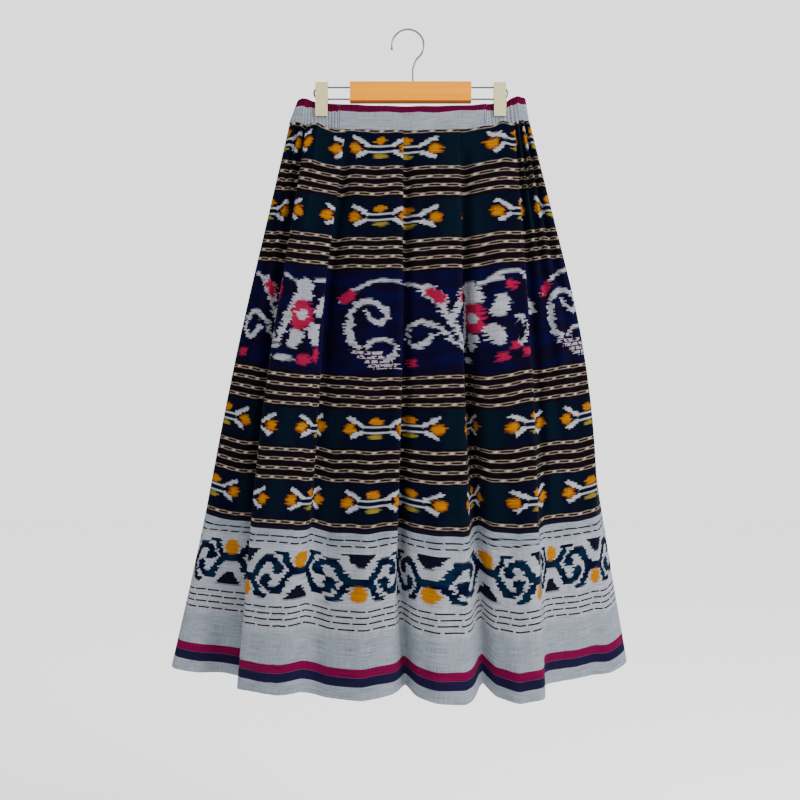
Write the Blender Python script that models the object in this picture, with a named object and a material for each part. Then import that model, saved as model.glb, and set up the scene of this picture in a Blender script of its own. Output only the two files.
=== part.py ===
# Pleated ikat skirt held flat on a clip hanger with wire ends.
# The cloth pieces are thin walls. Each wall is worked out from the cloth's own length,
# so that a fold takes up as much cloth as the flat cut would give it.
# The origin is under the top bend of the hanger's hook, +Z is up and the front faces -Y.
import math
from collections import namedtuple

import bpy
import numpy as np

MM = 0.001

# Driving sizes, in millimetres
CLOTH = 1.2
BAND_CLOTH = 2.0
SEAM_GAP = 0.3
SKIRT_DROP = 853.0
FRONT_FROM = -470.0
FRONT_TO = 530.0
BACK_WIDTH = 940.0
ROWS_FRONT = 10
ROWS_BACK = 9
BACK_GATHERS = 30
BACK_WAVES = 9
RIB_PITCH = 5.2
RIB_DEPTH = 1.3
HOOK_WIRE = 3.0
HOOK_RADIUS = 24.3
ROD_WIRE = 2.6
ROD_TOP = -87.0
ROD_LOW = -104.8
BAR_LEFT = -88.0
BAR_RIGHT = 96.0
BAR_TOP = -78.6
BAR_HIGH = 32.0
BAR_DEEP = 12.0
CLIP_WIDE = 18.4
CLIP_TOP = -79.4
CLIP_FOOT = -132.0

# One point of a section: where the cloth is (across the cut), and where it hangs.
Fold = namedtuple("Fold", "cloth x y")
# A run of small gathers: its cloth, its two ends and how many it has.
Gathers = namedtuple("Gathers", "start stop x0 y0 x1 y1 count")
# A height along the waist.
Height = namedtuple("Height", "x z")
# A point of the waistband's path: where it is at the top edge, and where at the seam.
Band = namedtuple("Band", "x foot_x top_y foot_y")
# How far the hem hangs below a level cut at one place of the cloth.
Drop = namedtuple("Drop", "cloth down")

# The front at its waist seam: face, two layers under it, and so on at each knife pleat.
WAIST_FOLDS = (
    Fold(-353, -155, -0.8),
    Fold(-304, -107, -0.8),
    Fold(-302, -107, -3),
    Fold(-258, -152, -3),
    Fold(-249, -153, -12.6),
    Fold(-229, -137, -12.6),
    Fold(-225, -135, -15.6),
    Fold(-221, -132, -12.6),
    Fold(-185, -94, -12.6),
    Fold(-183, -94, -10.4),
    Fold(-135, -141, -10.4),
    Fold(-133, -141, -8.2),
    Fold(-87, -92, -7.4),
    Fold(-1, -7, -11),
    Fold(1, -7, -8.8),
    Fold(42, -49, -6.2),
    Fold(44, -49, -4),
    Fold(87, -5, -6.6),
    Fold(169, 79, -11),
    Fold(171, 79, -8.8),
    Fold(209, 41, -6.2),
    Fold(211, 41, -4),
    Fold(250, 81, -6.6),
    Fold(326, 161, -10),
    Fold(328, 161, -7.8),
    Fold(349, 140, -6),
    Fold(351, 140, -3.8),
    Fold(373, 162, -4.4),
)
# Gathers under the elastic: behind the left edge, before it, and the same on the right.
LEFT_BEHIND = Gathers(-470, -418, -160, 12, -178, 10, 2)
LEFT_BEFORE = Gathers(-402, -353, -179, -3, -155, -0.8, 2)
RIGHT_BEFORE = Gathers(373, 462, 162, -4.4, 184, -5, 3)
RIGHT_BEHIND = Gathers(478, 530, 185, 10, 160, 12, 2)

# Half way down the pleats have begun to open.
MIDDLE_FOLDS = (
    Fold(-470, -262, 70),
    Fold(-405, -282, 12),
    Fold(-345, -231, -5),
    Fold(-306, -196, 8),
    Fold(-299, -196, 1),
    Fold(-260, -224, -30),
    Fold(-195, -158, -38),
    Fold(-157, -128, -20),
    Fold(-125, -137, 6),
    Fold(-100, -115, -4),
    Fold(-73, -87, -15),
    Fold(-1, -7, -38.5),
    Fold(9, -6, -29.5),
    Fold(39, -33, -15),
    Fold(47, -33, -7),
    Fold(84, -4, -21.5),
    Fold(171, 86, -36),
    Fold(205, 89, -2),
    Fold(212, 95, 1),
    Fold(247, 113, -28),
    Fold(326, 193, -34),
    Fold(347, 188, -15.5),
    Fold(353, 189, -9.8),
    Fold(373, 207, -3.5),
    Fold(460, 293, 7),
    Fold(530, 274, 67),
)

# At the hem they are soft waves.
HEM_FOLDS = (
    Fold(-470, -363, 60),
    Fold(-430, -368, 24),
    Fold(-385, -330, 26),
    Fold(-340, -290, 46),
    Fold(-300, -251, 42),
    Fold(-247, -262, -9),
    Fold(-200, -222, -32),
    Fold(-160, -184, -40),
    Fold(-120, -149, -30),
    Fold(-73, -103, -48),
    Fold(-35, -67, -60),
    Fold(0, -32, -55),
    Fold(18, -18, -42),
    Fold(50, -4, -10),
    Fold(92, 13, -45),
    Fold(125, 43, -62),
    Fold(165, 85, -55),
    Fold(178, 96, -45),
    Fold(226, 112, -3),
    Fold(255, 131, -22),
    Fold(300, 165, -48),
    Fold(338, 206, -38),
    Fold(372, 205, -2),
    Fold(402, 228, 16),
    Fold(450, 276, 32),
    Fold(490, 316, 38),
    Fold(515, 342, 45),
    Fold(530, 346, 62),
)

# The hem of the front against a level one: fuller waves hang lower, folds behind them higher.
HEM_DROPS = (
    Drop(-470, 0),
    Drop(-385, 3),
    Drop(-300, 6),
    Drop(-247, 8),
    Drop(-200, 2),
    Drop(-120, -2),
    Drop(-35, -3),
    Drop(0, -9),
    Drop(50, -16),
    Drop(92, -6),
    Drop(125, 1),
    Drop(165, 5),
    Drop(178, 2),
    Drop(226, -14),
    Drop(255, 2),
    Drop(300, 15),
    Drop(338, 13),
    Drop(372, 2),
    Drop(402, 5),
    Drop(450, 9),
    Drop(490, 7),
    Drop(530, 0),
)

SEAM_HEIGHTS = (
    Height(-190, -141),
    Height(-135, -147),
    Height(-100, -152.5),
    Height(0, -154.6),
    Height(90, -152),
    Height(140, -143.5),
    Height(190, -140),
)
TOP_HEIGHTS = (
    Height(-167, -107),
    Height(-160, -104.5),
    Height(-152, -105.5),
    Height(-141, -110),
    Height(-121, -112.5),
    Height(-100, -114),
    Height(0, -117.7),
    Height(100, -115),
    Height(131, -112),
    Height(149, -109.6),
    Height(157, -105),
    Height(166, -102),
    Height(178, -104),
)
FRONT_BAND = (
    Band(-106, -106, -4.5, -8),
    Band(-50, -50, -5.5, -8),
    Band(0, 0, -6, -8),
    Band(60, 60, -5.5, -8),
    Band(119, 119, -4, -8),
)
ELASTIC_BAND = (
    Band(-106.3, -106.3, -4.5, -8),
    Band(-118, -118, -3, -8),
    Band(-144, -144, -3, -7.5),
    Band(-156, -162, -6, -7),
    Band(-165, -176, -3, -3),
    Band(-167, -180, 1, 1),
    Band(-165, -176, 5, 6),
    Band(-156, -162, 8, 11),
    Band(-144, -144, 3, 11),
    Band(-118, -118, 3, 11),
    Band(-60, -60, 7, 11),
    Band(0, 0, 8, 11),
    Band(70, 70, 7, 11),
    Band(127, 127, 3, 11),
    Band(152, 152, 3, 11),
    Band(166, 168, 8, 11),
    Band(175, 180, 5, 5),
    Band(178, 184, 1, 1),
    Band(175, 180, -3, -3),
    Band(166, 168, -6, -7),
    Band(152, 152, -3, -7),
    Band(127, 127, -3, -8),
    Band(119.3, 119.3, -4, -8),
)


def height_at(table, x):
    return np.interp(x, [h.x for h in table], [h.z for h in table])


def gathered(run):
    """Small zigzag folds along a straight path, as deep as their cloth makes them."""
    turns = 2 * run.count
    along = np.array([run.x1 - run.x0, run.y1 - run.y0])
    length = np.hypot(*along)
    normal = np.array([along[1], -along[0]]) / length
    leg = (run.stop - run.start) / turns
    half_tip = min(1.1, 0.4 * length / turns)
    deep = math.sqrt(max(leg * leg - (length / turns) ** 2, 1.0)) - 2 * half_tip
    folds = []
    for turn in range(1, turns):
        side = 0.5 if turn % 2 else -0.5
        centre = np.array([run.x0, run.y0]) + along * turn / turns + normal * deep * side
        for flat in (-half_tip, half_tip):
            place = centre + along / length * flat
            folds.append(Fold(run.start + turn * leg + flat, place[0], place[1]))
    return folds


def section(folds, soft):
    """A curve through the folds as a function of the cloth's own length, rounded by soft."""
    cloth = np.array([f.cloth for f in folds], float)
    xs = np.array([f.x for f in folds], float)
    ys = np.array([f.y for f in folds], float)
    taps = np.linspace(-1.0, 1.0, 9)

    def curve(s):
        s = np.asarray(s, float)
        room = np.minimum(soft, np.minimum(s - cloth[0], cloth[-1] - s))
        at = s[:, None] + taps[None, :] * room[:, None]
        x = np.interp(at, cloth, xs).mean(axis=1)
        y = np.interp(at, cloth, ys).mean(axis=1)
        return np.stack([x, y], axis=1)

    return curve


def shares(taus):
    """How much of the waist, middle and hem sections shows at each height."""
    taps = np.linspace(-1.0, 1.0, 11)
    room = np.minimum(0.2, np.minimum(taus, 1 - taus))
    at = taus[:, None] + taps[None, :] * room[:, None]
    waist = np.clip(1 - 2 * at, 0, 1).mean(axis=1)
    hem = np.clip(2 * at - 1, 0, 1).mean(axis=1)
    return np.stack([waist, 1 - waist - hem, hem], axis=1)


def hang(waist, middle, hem, samples, rows, drops):
    """The middle surface: three sections blended downwards, with every thread its full length."""
    w, k, e = waist(samples), middle(samples), hem(samples)
    taus = np.linspace(0.0, 1.0, rows + 1)
    three = np.array([w, k, e])
    flat = np.array([(share[:, None, None] * three).sum(axis=0) for share in shares(taus)])
    z = np.zeros(flat.shape[:2])
    z[0] = height_at(SEAM_HEIGHTS, w[:, 0]) - SEAM_GAP / 2
    step = SKIRT_DROP / rows
    for row in range(1, rows + 1):
        run = np.linalg.norm(flat[row] - flat[row - 1], axis=1)
        z[row] = z[row - 1] - np.sqrt(np.maximum(step * step - run * run, (0.5 * step) ** 2))
    ease = np.clip((taus - 0.3) / 0.7, 0, 1)
    down = np.interp(samples, [d.cloth for d in drops], [d.down for d in drops])
    z -= (ease * ease * (3 - 2 * ease))[:, None] * down[None, :]
    return np.dstack([flat, z])


def spread(marks, extra, most):
    """Every mark, the extra ones that stand clear of them, and more where they are far apart."""
    kept = sorted(set(marks))
    for mark in extra:
        if min(abs(mark - other) for other in kept) > 4:
            kept = sorted(kept + [mark])
    filled = [kept[0]]
    for mark in kept[1:]:
        pieces = max(1, math.ceil((mark - filled[-1]) / most))
        filled.extend(np.linspace(filled[-1], mark, pieces + 1)[1:])
    return np.array(filled)


def new_object(name, verts, faces, colour, rough):
    mesh = bpy.data.meshes.new(name)
    mesh.from_pydata([tuple(float(c) * MM for c in v) for v in verts], [], faces)
    mesh.validate()
    mesh.update()
    obj = bpy.data.objects.new(name, mesh)
    bpy.context.scene.collection.objects.link(obj)
    material = bpy.data.materials.new(name + "_material")
    material.use_nodes = True
    shader = material.node_tree.nodes["Principled BSDF"]
    shader.inputs["Base Color"].default_value = (*colour, 1.0)
    shader.inputs["Roughness"].default_value = rough
    mesh.materials.append(material)
    return obj


def wall(name, grid, thick, colour, rough):
    """A closed sheet of even thickness about a grid, rows going down and columns to the right."""
    rows, cols = grid.shape[:2]
    before = np.diff(grid, axis=1)
    before /= np.linalg.norm(before, axis=2, keepdims=True)
    first = np.concatenate([before[:, :1], before], axis=1)
    last = np.concatenate([before, before[:, -1:]], axis=1)
    along = first + last
    along /= np.maximum(np.linalg.norm(along, axis=2, keepdims=True), 1e-6)
    down = np.gradient(grid, axis=0)
    normal = np.cross(down, along)
    normal /= np.linalg.norm(normal, axis=2, keepdims=True)
    mitre = 1.0 / np.sqrt(np.clip((1 + (first * last).sum(axis=2)) / 2, 0.3, 1.0))
    out = normal * (thick / 2) * mitre[:, :, None]
    out[[0, -1], :, 2] = 0
    verts = np.concatenate([(grid + out).reshape(-1, 3), (grid - out).reshape(-1, 3)])
    back = rows * cols
    faces = []
    for r in range(rows - 1):
        for c in range(cols - 1):
            a, b = r * cols + c, r * cols + c + 1
            d, e = a + cols, b + cols
            faces.append((a, b, e, d))
            faces.append((back + a, back + d, back + e, back + b))
    rim = [c for c in range(cols)]
    rim += [r * cols + cols - 1 for r in range(1, rows)]
    rim += [(rows - 1) * cols + c for c in range(cols - 2, -1, -1)]
    rim += [r * cols for r in range(rows - 2, 0, -1)]
    for a, b in zip(rim, rim[1:] + rim[:1]):
        faces.append((b, a, back + a, back + b))
    obj = new_object(name, verts, faces, colour, rough)
    return facing_out(obj)


def facing_out(obj):
    """Turns the faces round when they point inwards."""
    mesh = obj.data
    mesh.calc_loop_triangles()
    points = np.array([v.co[:] for v in mesh.vertices])
    a, b, c = (points[[t.vertices[i] for t in mesh.loop_triangles]] for i in range(3))
    if (a * np.cross(b, c)).sum() < 0:
        mesh.flip_normals()
    return obj


def tube(name, path, radius, sides, colour, rough, ball=0.0):
    """A round wire along a path in the X-Z plane, closed at both ends."""
    path = np.array(path, float)
    ahead = np.gradient(path, axis=0)
    ahead /= np.linalg.norm(ahead, axis=1, keepdims=True)
    across = np.stack([-ahead[:, 1], ahead[:, 0]], axis=1)
    verts = []
    for place, side in zip(path, across):
        for k in range(sides):
            turn = 2 * math.pi * k / sides
            flat = place + side * radius * math.cos(turn)
            verts.append((flat[0], radius * math.sin(turn), flat[1]))
    faces = []
    for i in range(len(path) - 1):
        for k in range(sides):
            a, b = i * sides + k, i * sides + (k + 1) % sides
            faces.append((a, b, b + sides, a + sides))
    faces.append(tuple(range(sides - 1, -1, -1)))
    faces.append(tuple((len(path) - 1) * sides + k for k in range(sides)))
    return facing_out(new_object(name, verts, faces, colour, rough))


def extruded(name, profile, x0, x1, colour, rough):
    """A profile in the Y-Z plane carried from x0 to x1."""
    count = len(profile)
    verts = [(x, y, z) for x in (x0, x1) for y, z in profile]
    faces = [tuple(range(count)), tuple(range(2 * count - 1, count - 1, -1))]
    for i in range(count):
        j = (i + 1) % count
        faces.append((j, i, count + i, count + j))
    return facing_out(new_object(name, verts, faces, colour, rough))


def cut(obj, cutter):
    cutter.hide_render = True
    cutter.display_type = "WIRE"
    modifier = obj.modifiers.new("hole_" + cutter.name, "BOOLEAN")
    modifier.operation = "DIFFERENCE"
    modifier.solver = "EXACT"
    modifier.object = cutter


def arc(cx, cz, radius, start, stop, count):
    turns = np.radians(np.linspace(start, stop, count))
    return [(cx + radius * math.cos(a), cz + radius * math.sin(a)) for a in turns]


for old in list(bpy.data.objects):
    bpy.data.objects.remove(old, do_unlink=True)

# Front panel: sections at waist, half way and hem
waist_folds = []
for run in (LEFT_BEHIND, LEFT_BEFORE):
    waist_folds += [Fold(run.start, run.x0, run.y0)] + gathered(run)
    if run is LEFT_BEHIND:
        waist_folds.append(Fold(run.stop, run.x1, run.y1))
waist_folds += WAIST_FOLDS
for run in (RIGHT_BEFORE, RIGHT_BEHIND):
    if run is RIGHT_BEHIND:
        waist_folds.append(Fold(run.start, run.x0, run.y0))
    waist_folds += gathered(run) + [Fold(run.stop, run.x1, run.y1)]
front_marks = [f.cloth for f in waist_folds]
for fold, after in zip(WAIST_FOLDS, WAIST_FOLDS[1:]):
    if after.cloth - fold.cloth == 2:
        front_marks += [fold.cloth - 2, fold.cloth + 1, after.cloth + 2]
front_samples = spread(front_marks, [f.cloth for f in MIDDLE_FOLDS + HEM_FOLDS], 24)
front_grid = hang(
    section(waist_folds, 0.8),
    section(MIDDLE_FOLDS, 9.0),
    section(HEM_FOLDS, 14.0),
    front_samples,
    ROWS_FRONT,
    HEM_DROPS,
)
wall("front_panel", front_grid, CLOTH, (0.05, 0.09, 0.16), 0.9)


# Back panel: gathers at the waist that open into broad waves
def waves(first, last, bulge):
    """Broad folds between the two side seams."""
    x0, y0, x1, y1 = first.x, first.y, last.x, last.y
    folds = [Fold(0, x0, y0)]
    turns = 2 * BACK_WAVES
    leg = BACK_WIDTH / turns
    deep = math.sqrt(max(leg * leg - ((x1 - x0) / turns) ** 2, 1.0)) * 0.97
    for turn in range(1, turns):
        u = turn / turns
        side = deep / 2 if turn % 2 else -deep / 2
        uneven = 1 + 0.15 * math.sin(2.3 * turn)
        y = y0 + (y1 - y0) * u + bulge * math.sqrt(math.sin(math.pi * u)) + side * uneven
        folds.append(Fold(BACK_WIDTH * u, x0 + (x1 - x0) * u, y))
    folds.append(Fold(BACK_WIDTH, x1, y1))
    return folds


left_waist, right_waist = waist_folds[0], waist_folds[-1]
seam_ends = (left_waist.x, left_waist.y, right_waist.x, right_waist.y)
back_run = Gathers(0, BACK_WIDTH, *seam_ends, BACK_GATHERS)
back_waist = [Fold(0, left_waist.x, left_waist.y)] + gathered(back_run)
back_waist.append(Fold(BACK_WIDTH, right_waist.x, right_waist.y))
back_middle = waves(MIDDLE_FOLDS[0], MIDDLE_FOLDS[-1], 14)
back_hem = waves(HEM_FOLDS[0], HEM_FOLDS[-1], 45)
back_samples = spread([f.cloth for f in back_waist], [], 24)
back_grid = hang(
    section(back_waist, 0.8),
    section(back_middle, 12.0),
    section(back_hem, 18.0),
    back_samples,
    ROWS_BACK,
    (Drop(0, 0), Drop(BACK_WIDTH, 0)),
)
# The side seams: the back stands off the front by the seam gap
for edge in (0, -1):
    inner = 1 if edge == 0 else -2
    toward = back_grid[:, inner] - back_grid[:, edge]
    toward /= np.linalg.norm(toward, axis=1, keepdims=True)
    back_grid[:, edge] += toward * (CLOTH + SEAM_GAP)
wall("back_panel", back_grid, CLOTH, (0.05, 0.09, 0.16), 0.9)


def band_wall(name, table, ribs, colour):
    """A waistband wall between its top edge and the seam, with fine ribs where it is elastic."""
    keys = np.array([(b.x, b.foot_x, b.top_y, b.foot_y) for b in table], float)
    length = np.concatenate([[0], np.cumsum(np.hypot(np.diff(keys[:, 1]), np.diff(keys[:, 3])))])
    count = 2 * round(length[-1] / RIB_PITCH) if ribs else 12
    at = np.linspace(0, length[-1], count + 1)
    top_x = np.interp(at, length, keys[:, 0])
    foot_x = np.interp(at, length, keys[:, 1])
    top = height_at(TOP_HEIGHTS, top_x)
    foot = height_at(SEAM_HEIGHTS, foot_x) + SEAM_GAP / 2 + 0.1
    rows = []
    for down, flare in ((0.0, 0.0), (0.35, 0.0), (0.7, 0.0), (1.0, 1.0)):
        x = top_x + (foot_x - top_x) * down
        y = np.interp(at, length, keys[:, 2] * (1 - flare) + keys[:, 3] * flare)
        rows.append(np.stack([x, y, top + (foot - top) * down], axis=1))
    grid = np.array(rows)
    if ribs:
        path = np.gradient(grid, axis=1)
        path[:, :, 2] = 0
        path /= np.linalg.norm(path, axis=2, keepdims=True)
        side = np.stack([path[:, :, 1], -path[:, :, 0], 0 * path[:, :, 0]], axis=2)
        sign = np.where(np.arange(count + 1) % 2, 0.5, -0.5)
        sign[[0, -1]] = 0
        pressed = np.array([0.4, 0.5, 0.5, 1.0])
        grid = grid + side * RIB_DEPTH * sign[None, :, None] * pressed[:, None, None]
    return wall(name, grid, BAND_CLOTH, colour, 0.85)


band_wall("front_waistband", FRONT_BAND, False, (0.42, 0.44, 0.48))
band_wall("elastic_waistband", ELASTIC_BAND, True, (0.42, 0.44, 0.48))

# Wooden bar with holes for the four wire ends and the hook's stem
bevel = 2.5
half_deep = BAR_DEEP / 2
bar_foot = BAR_TOP - BAR_HIGH
bar_profile = [
    (-half_deep + bevel, BAR_TOP),
    (half_deep - bevel, BAR_TOP),
    (half_deep, BAR_TOP - bevel),
    (half_deep, bar_foot + bevel),
    (half_deep - bevel, bar_foot),
    (-half_deep + bevel, bar_foot),
    (-half_deep, bar_foot + bevel),
    (-half_deep, BAR_TOP - bevel),
]
bar = extruded("hanger_bar", bar_profile, BAR_LEFT, BAR_RIGHT, (0.75, 0.42, 0.14), 0.35)
hole = ROD_WIRE / 2 + SEAM_GAP
for side, end in (("left", BAR_LEFT), ("right", BAR_RIGHT)):
    inward = 1 if side == "left" else -1
    for level, z in (("top", ROD_TOP), ("low", ROD_LOW)):
        path = [(end - 4 * inward, z), (end + 4 * inward, z), (end + 12 * inward, z)]
        cut(bar, tube(f"cutter_{side}_{level}", path, hole, 12, (0.5, 0.5, 0.5), 0.5))
stem_x = 7.6
stem_path = [(stem_x, BAR_TOP + 4), (stem_x, BAR_TOP - 5), (stem_x, BAR_TOP - 14)]
cut(bar, tube("cutter_stem", stem_path, HOOK_WIRE / 2 + SEAM_GAP, 12, (0.5, 0.5, 0.5), 0.5))

# Hook: tip, three quarters of a circle, a bend and the stem
centre_z = HOOK_WIRE / 2 - HOOK_RADIUS
hook_path = [(-HOOK_RADIUS, centre_z - 4)]
hook_path += arc(0, centre_z, HOOK_RADIUS, 180, -52, 24)
bend_from = hook_path[-1]
bend_to = (stem_x, -58.0)
for u in (0.25, 0.5, 0.75):
    ease = u * u * (3 - 2 * u)
    inward = 0.5 * u + 0.5 * math.sqrt(u)
    downward = 0.6 * u + 0.4 * ease
    bend_x = bend_from[0] + (bend_to[0] - bend_from[0]) * inward
    bend_z = bend_from[1] + (bend_to[1] - bend_from[1]) * downward
    hook_path.append((bend_x, bend_z))
hook_path += [bend_to, (stem_x, -70.0), (stem_x, BAR_TOP - 12)]
tube("hanger_hook", hook_path, HOOK_WIRE / 2, 10, (0.6, 0.6, 0.62), 0.25)

# Wire ends: two rods joined by a round bend
bend_radius = (ROD_TOP - ROD_LOW) / 2
rod_middle = (ROD_TOP + ROD_LOW) / 2
left_path = [(BAR_LEFT + 10, ROD_TOP), (BAR_LEFT - 10, ROD_TOP)]
left_path += arc(-144 + ROD_WIRE / 2 + bend_radius, rod_middle, bend_radius, 90, 270, 11)
left_path += [(BAR_LEFT - 10, ROD_LOW), (BAR_LEFT + 10, ROD_LOW)]
tube("wire_left", left_path, ROD_WIRE / 2, 8, (0.55, 0.56, 0.58), 0.3)
right_path = [(BAR_RIGHT - 10, ROD_TOP), (BAR_RIGHT + 10, ROD_TOP)]
right_path += arc(153 - ROD_WIRE / 2 - bend_radius, rod_middle, bend_radius, 90, -90, 11)
right_path += [(BAR_RIGHT + 10, ROD_LOW), (BAR_RIGHT - 10, ROD_LOW)]
tube("wire_right", right_path, ROD_WIRE / 2, 8, (0.55, 0.56, 0.58), 0.3)

# Clips: each hangs on the rods and closes over both layers of the band
rod_slot = ROD_WIRE / 2 + SEAM_GAP
jaw_slot = 3.0 + BAND_CLOTH / 2 + RIB_DEPTH / 2 + SEAM_GAP
shoulder = ROD_LOW - ROD_WIRE / 2 - 2.0
clip_half = [
    (3.0, CLIP_TOP),
    (5.0, CLIP_TOP - 2.0),
    (5.0, shoulder + 5.0),
    (jaw_slot + 2.6, shoulder - 4.0),
    (jaw_slot + 2.2, CLIP_FOOT),
    (jaw_slot, CLIP_FOOT),
    (jaw_slot, shoulder - 1.5),
    (rod_slot, shoulder + 1.0),
    (rod_slot, ROD_TOP + rod_slot),
]
clip_profile = clip_half + [(-y, z) for y, z in reversed(clip_half)]
for name, x in (("clip_left", -130.9), ("clip_right", 139.6)):
    extruded(name, clip_profile, x - CLIP_WIDE / 2, x + CLIP_WIDE / 2, (0.72, 0.68, 0.55), 0.4)
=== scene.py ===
# %% [markdown]
# # A pleated ikat skirt on a clip hanger
# A long skirt of woven cotton hangs flat from two clips. In CAD it is already right in size and
# fold: the cloth is a thin wall of even thickness. Here the same cloth is made finer and softer,
# and it gets its dye, its weave and its stitches. The imported model comes first, so that every new
# piece can be set against it.

# %% Load the imported model
import math
from collections import namedtuple

import bmesh
import bpy
import numpy as np
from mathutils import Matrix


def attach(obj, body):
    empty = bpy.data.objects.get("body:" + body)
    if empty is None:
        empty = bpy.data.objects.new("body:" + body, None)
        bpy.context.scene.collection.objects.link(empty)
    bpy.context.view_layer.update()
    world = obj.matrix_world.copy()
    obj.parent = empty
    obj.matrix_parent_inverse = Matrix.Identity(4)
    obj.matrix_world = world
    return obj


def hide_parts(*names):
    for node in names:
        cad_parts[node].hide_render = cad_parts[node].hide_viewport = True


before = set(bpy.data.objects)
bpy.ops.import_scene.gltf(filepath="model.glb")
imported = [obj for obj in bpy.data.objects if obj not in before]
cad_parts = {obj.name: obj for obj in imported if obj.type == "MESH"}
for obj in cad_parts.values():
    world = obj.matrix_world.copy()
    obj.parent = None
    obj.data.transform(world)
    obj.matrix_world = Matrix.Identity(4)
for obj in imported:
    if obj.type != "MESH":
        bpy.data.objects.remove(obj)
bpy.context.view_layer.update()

MM = 0.001
print("nodes:", sorted(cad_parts))

# %% [markdown]
# ## The cut and the way it hangs
# A pleat is cloth that doubles back on itself. The honest way to model it is to say where each
# fold line lies: `cloth` is the distance across the flat width, `x` and `y` are where that thread
# hangs. Three such tables, at the waist, half way down and at the hem, describe the whole front.
# Between them nothing is drawn by hand, so the cloth keeps its width everywhere.

# %% Fold tables of the front, in millimetres
Fold = namedtuple("Fold", "cloth x y")
Gathers = namedtuple("Gathers", "start stop x0 y0 x1 y1 count")
Height = namedtuple("Height", "x z")
Band = namedtuple("Band", "x foot_x top_y foot_y")
Drop = namedtuple("Drop", "cloth down")
CLOTH = 1.2
SEAM_GAP = 0.3
SKIRT_DROP = 853.0
BACK_WIDTH = 940.0


def table(kind, *rows):
    """Rows of plain numbers, each turned into one named record."""
    return [kind(*row) for row in rows]


WAIST_FOLDS = table(
    Fold,
    (-353, -155, -0.8), (-304, -107, -0.8), (-302, -107, -3), (-258, -152, -3),
    (-249, -153, -12.6), (-229, -137, -12.6), (-225, -135, -15.6), (-221, -132, -12.6),
    (-185, -94, -12.6), (-183, -94, -10.4), (-135, -141, -10.4), (-133, -141, -8.2),
    (-87, -92, -7.4), (-1, -7, -11), (1, -7, -8.8), (42, -49, -6.2), (44, -49, -4), (87, -5, -6.6),
    (169, 79, -11), (171, 79, -8.8), (209, 41, -6.2), (211, 41, -4), (250, 81, -6.6),
    (326, 161, -10), (328, 161, -7.8), (349, 140, -6), (351, 140, -3.8), (373, 162, -4.4),
)
LEFT_BEHIND = Gathers(-470, -418, -160, 12, -178, 10, 2)
LEFT_BEFORE = Gathers(-402, -353, -179, -3, -155, -0.8, 2)
RIGHT_BEFORE = Gathers(373, 462, 162, -4.4, 184, -5, 3)
RIGHT_BEHIND = Gathers(478, 530, 185, 10, 160, 12, 2)
MIDDLE_FOLDS = table(
    Fold,
    (-470, -262, 70), (-405, -282, 12), (-345, -231, -5), (-306, -196, 8), (-299, -196, 1),
    (-260, -224, -30), (-195, -158, -38), (-157, -128, -20), (-125, -137, 6), (-100, -115, -4),
    (-73, -87, -15), (-1, -7, -38.5), (9, -6, -29.5), (39, -33, -15), (47, -33, -7),
    (84, -4, -21.5), (171, 86, -36), (205, 89, -2), (212, 95, 1), (247, 113, -28), (326, 193, -34),
    (347, 188, -15.5), (353, 189, -9.8), (373, 207, -3.5), (460, 293, 7), (530, 274, 67),
)
HEM_FOLDS = table(
    Fold,
    (-470, -363, 60), (-430, -368, 24), (-385, -330, 26), (-340, -290, 46), (-300, -251, 42),
    (-247, -262, -9), (-200, -222, -32), (-160, -184, -40), (-120, -149, -30), (-73, -103, -48),
    (-35, -67, -60), (0, -32, -55), (18, -18, -42), (50, -4, -10), (92, 13, -45), (125, 43, -62),
    (165, 85, -55), (178, 96, -45), (226, 112, -3), (255, 131, -22), (300, 165, -48),
    (338, 206, -38), (372, 205, -2), (402, 228, 16), (450, 276, 32), (490, 316, 38),
    (515, 342, 45), (530, 346, 62),
)
HEM_DROPS = table(
    Drop,
    (-470, 0), (-385, 3), (-300, 6), (-247, 8), (-200, 2), (-120, -2), (-35, -3), (0, -9),
    (50, -16), (92, -6), (125, 1), (165, 5), (178, 2), (226, -14), (255, 2), (300, 15), (338, 13),
    (372, 2), (402, 5), (450, 9), (490, 7), (530, 0),
)
SEAM_HEIGHTS = table(
    Height,
    (-190, -141), (-135, -147), (-100, -152.5), (0, -154.6), (90, -152), (140, -143.5),
    (190, -140),
)
TOP_HEIGHTS = table(
    Height,
    (-167, -107), (-160, -104.5), (-152, -105.5), (-141, -110), (-121, -112.5), (-100, -114),
    (0, -117.7), (100, -115), (131, -112), (149, -109.6), (157, -105), (166, -102), (178, -104),
)
FRONT_BAND = table(
    Band,
    (-106, -106, -4.5, -8), (-50, -50, -5.5, -8), (0, 0, -6, -8), (60, 60, -5.5, -8),
    (119, 119, -4, -8),
)
ELASTIC_BAND = table(
    Band,
    (-106.3, -106.3, -4.5, -8), (-118, -118, -3, -8), (-144, -144, -3, -7.5), (-156, -162, -6, -7),
    (-165, -176, -3, -3), (-167, -180, 1, 1), (-165, -176, 5, 6), (-156, -162, 8, 11),
    (-144, -144, 3, 11), (-118, -118, 3, 11), (-60, -60, 7, 11), (0, 0, 8, 11), (70, 70, 7, 11),
    (127, 127, 3, 11), (152, 152, 3, 11), (166, 168, 8, 11), (175, 180, 5, 5), (178, 184, 1, 1),
    (175, 180, -3, -3), (166, 168, -6, -7), (152, 152, -3, -7), (127, 127, -3, -8),
    (119.3, 119.3, -4, -8),
)
print("front fold lines:", len(WAIST_FOLDS), len(MIDDLE_FOLDS), len(HEM_FOLDS))

# %% [markdown]
# ## From fold tables to a surface
# Each table becomes a curve in the cloth's own length, rounded a little: pressed sharp at the
# waist, soft at the hem. The three curves are blended downwards. The height comes last: every
# vertical thread is as long as the cut, so where it swings outwards it reaches less far down. That
# is what gives the hem its waves, with no simulation.

# %% Sections and threads
def height_at(table, x):
    return np.interp(x, [h.x for h in table], [h.z for h in table])


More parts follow.
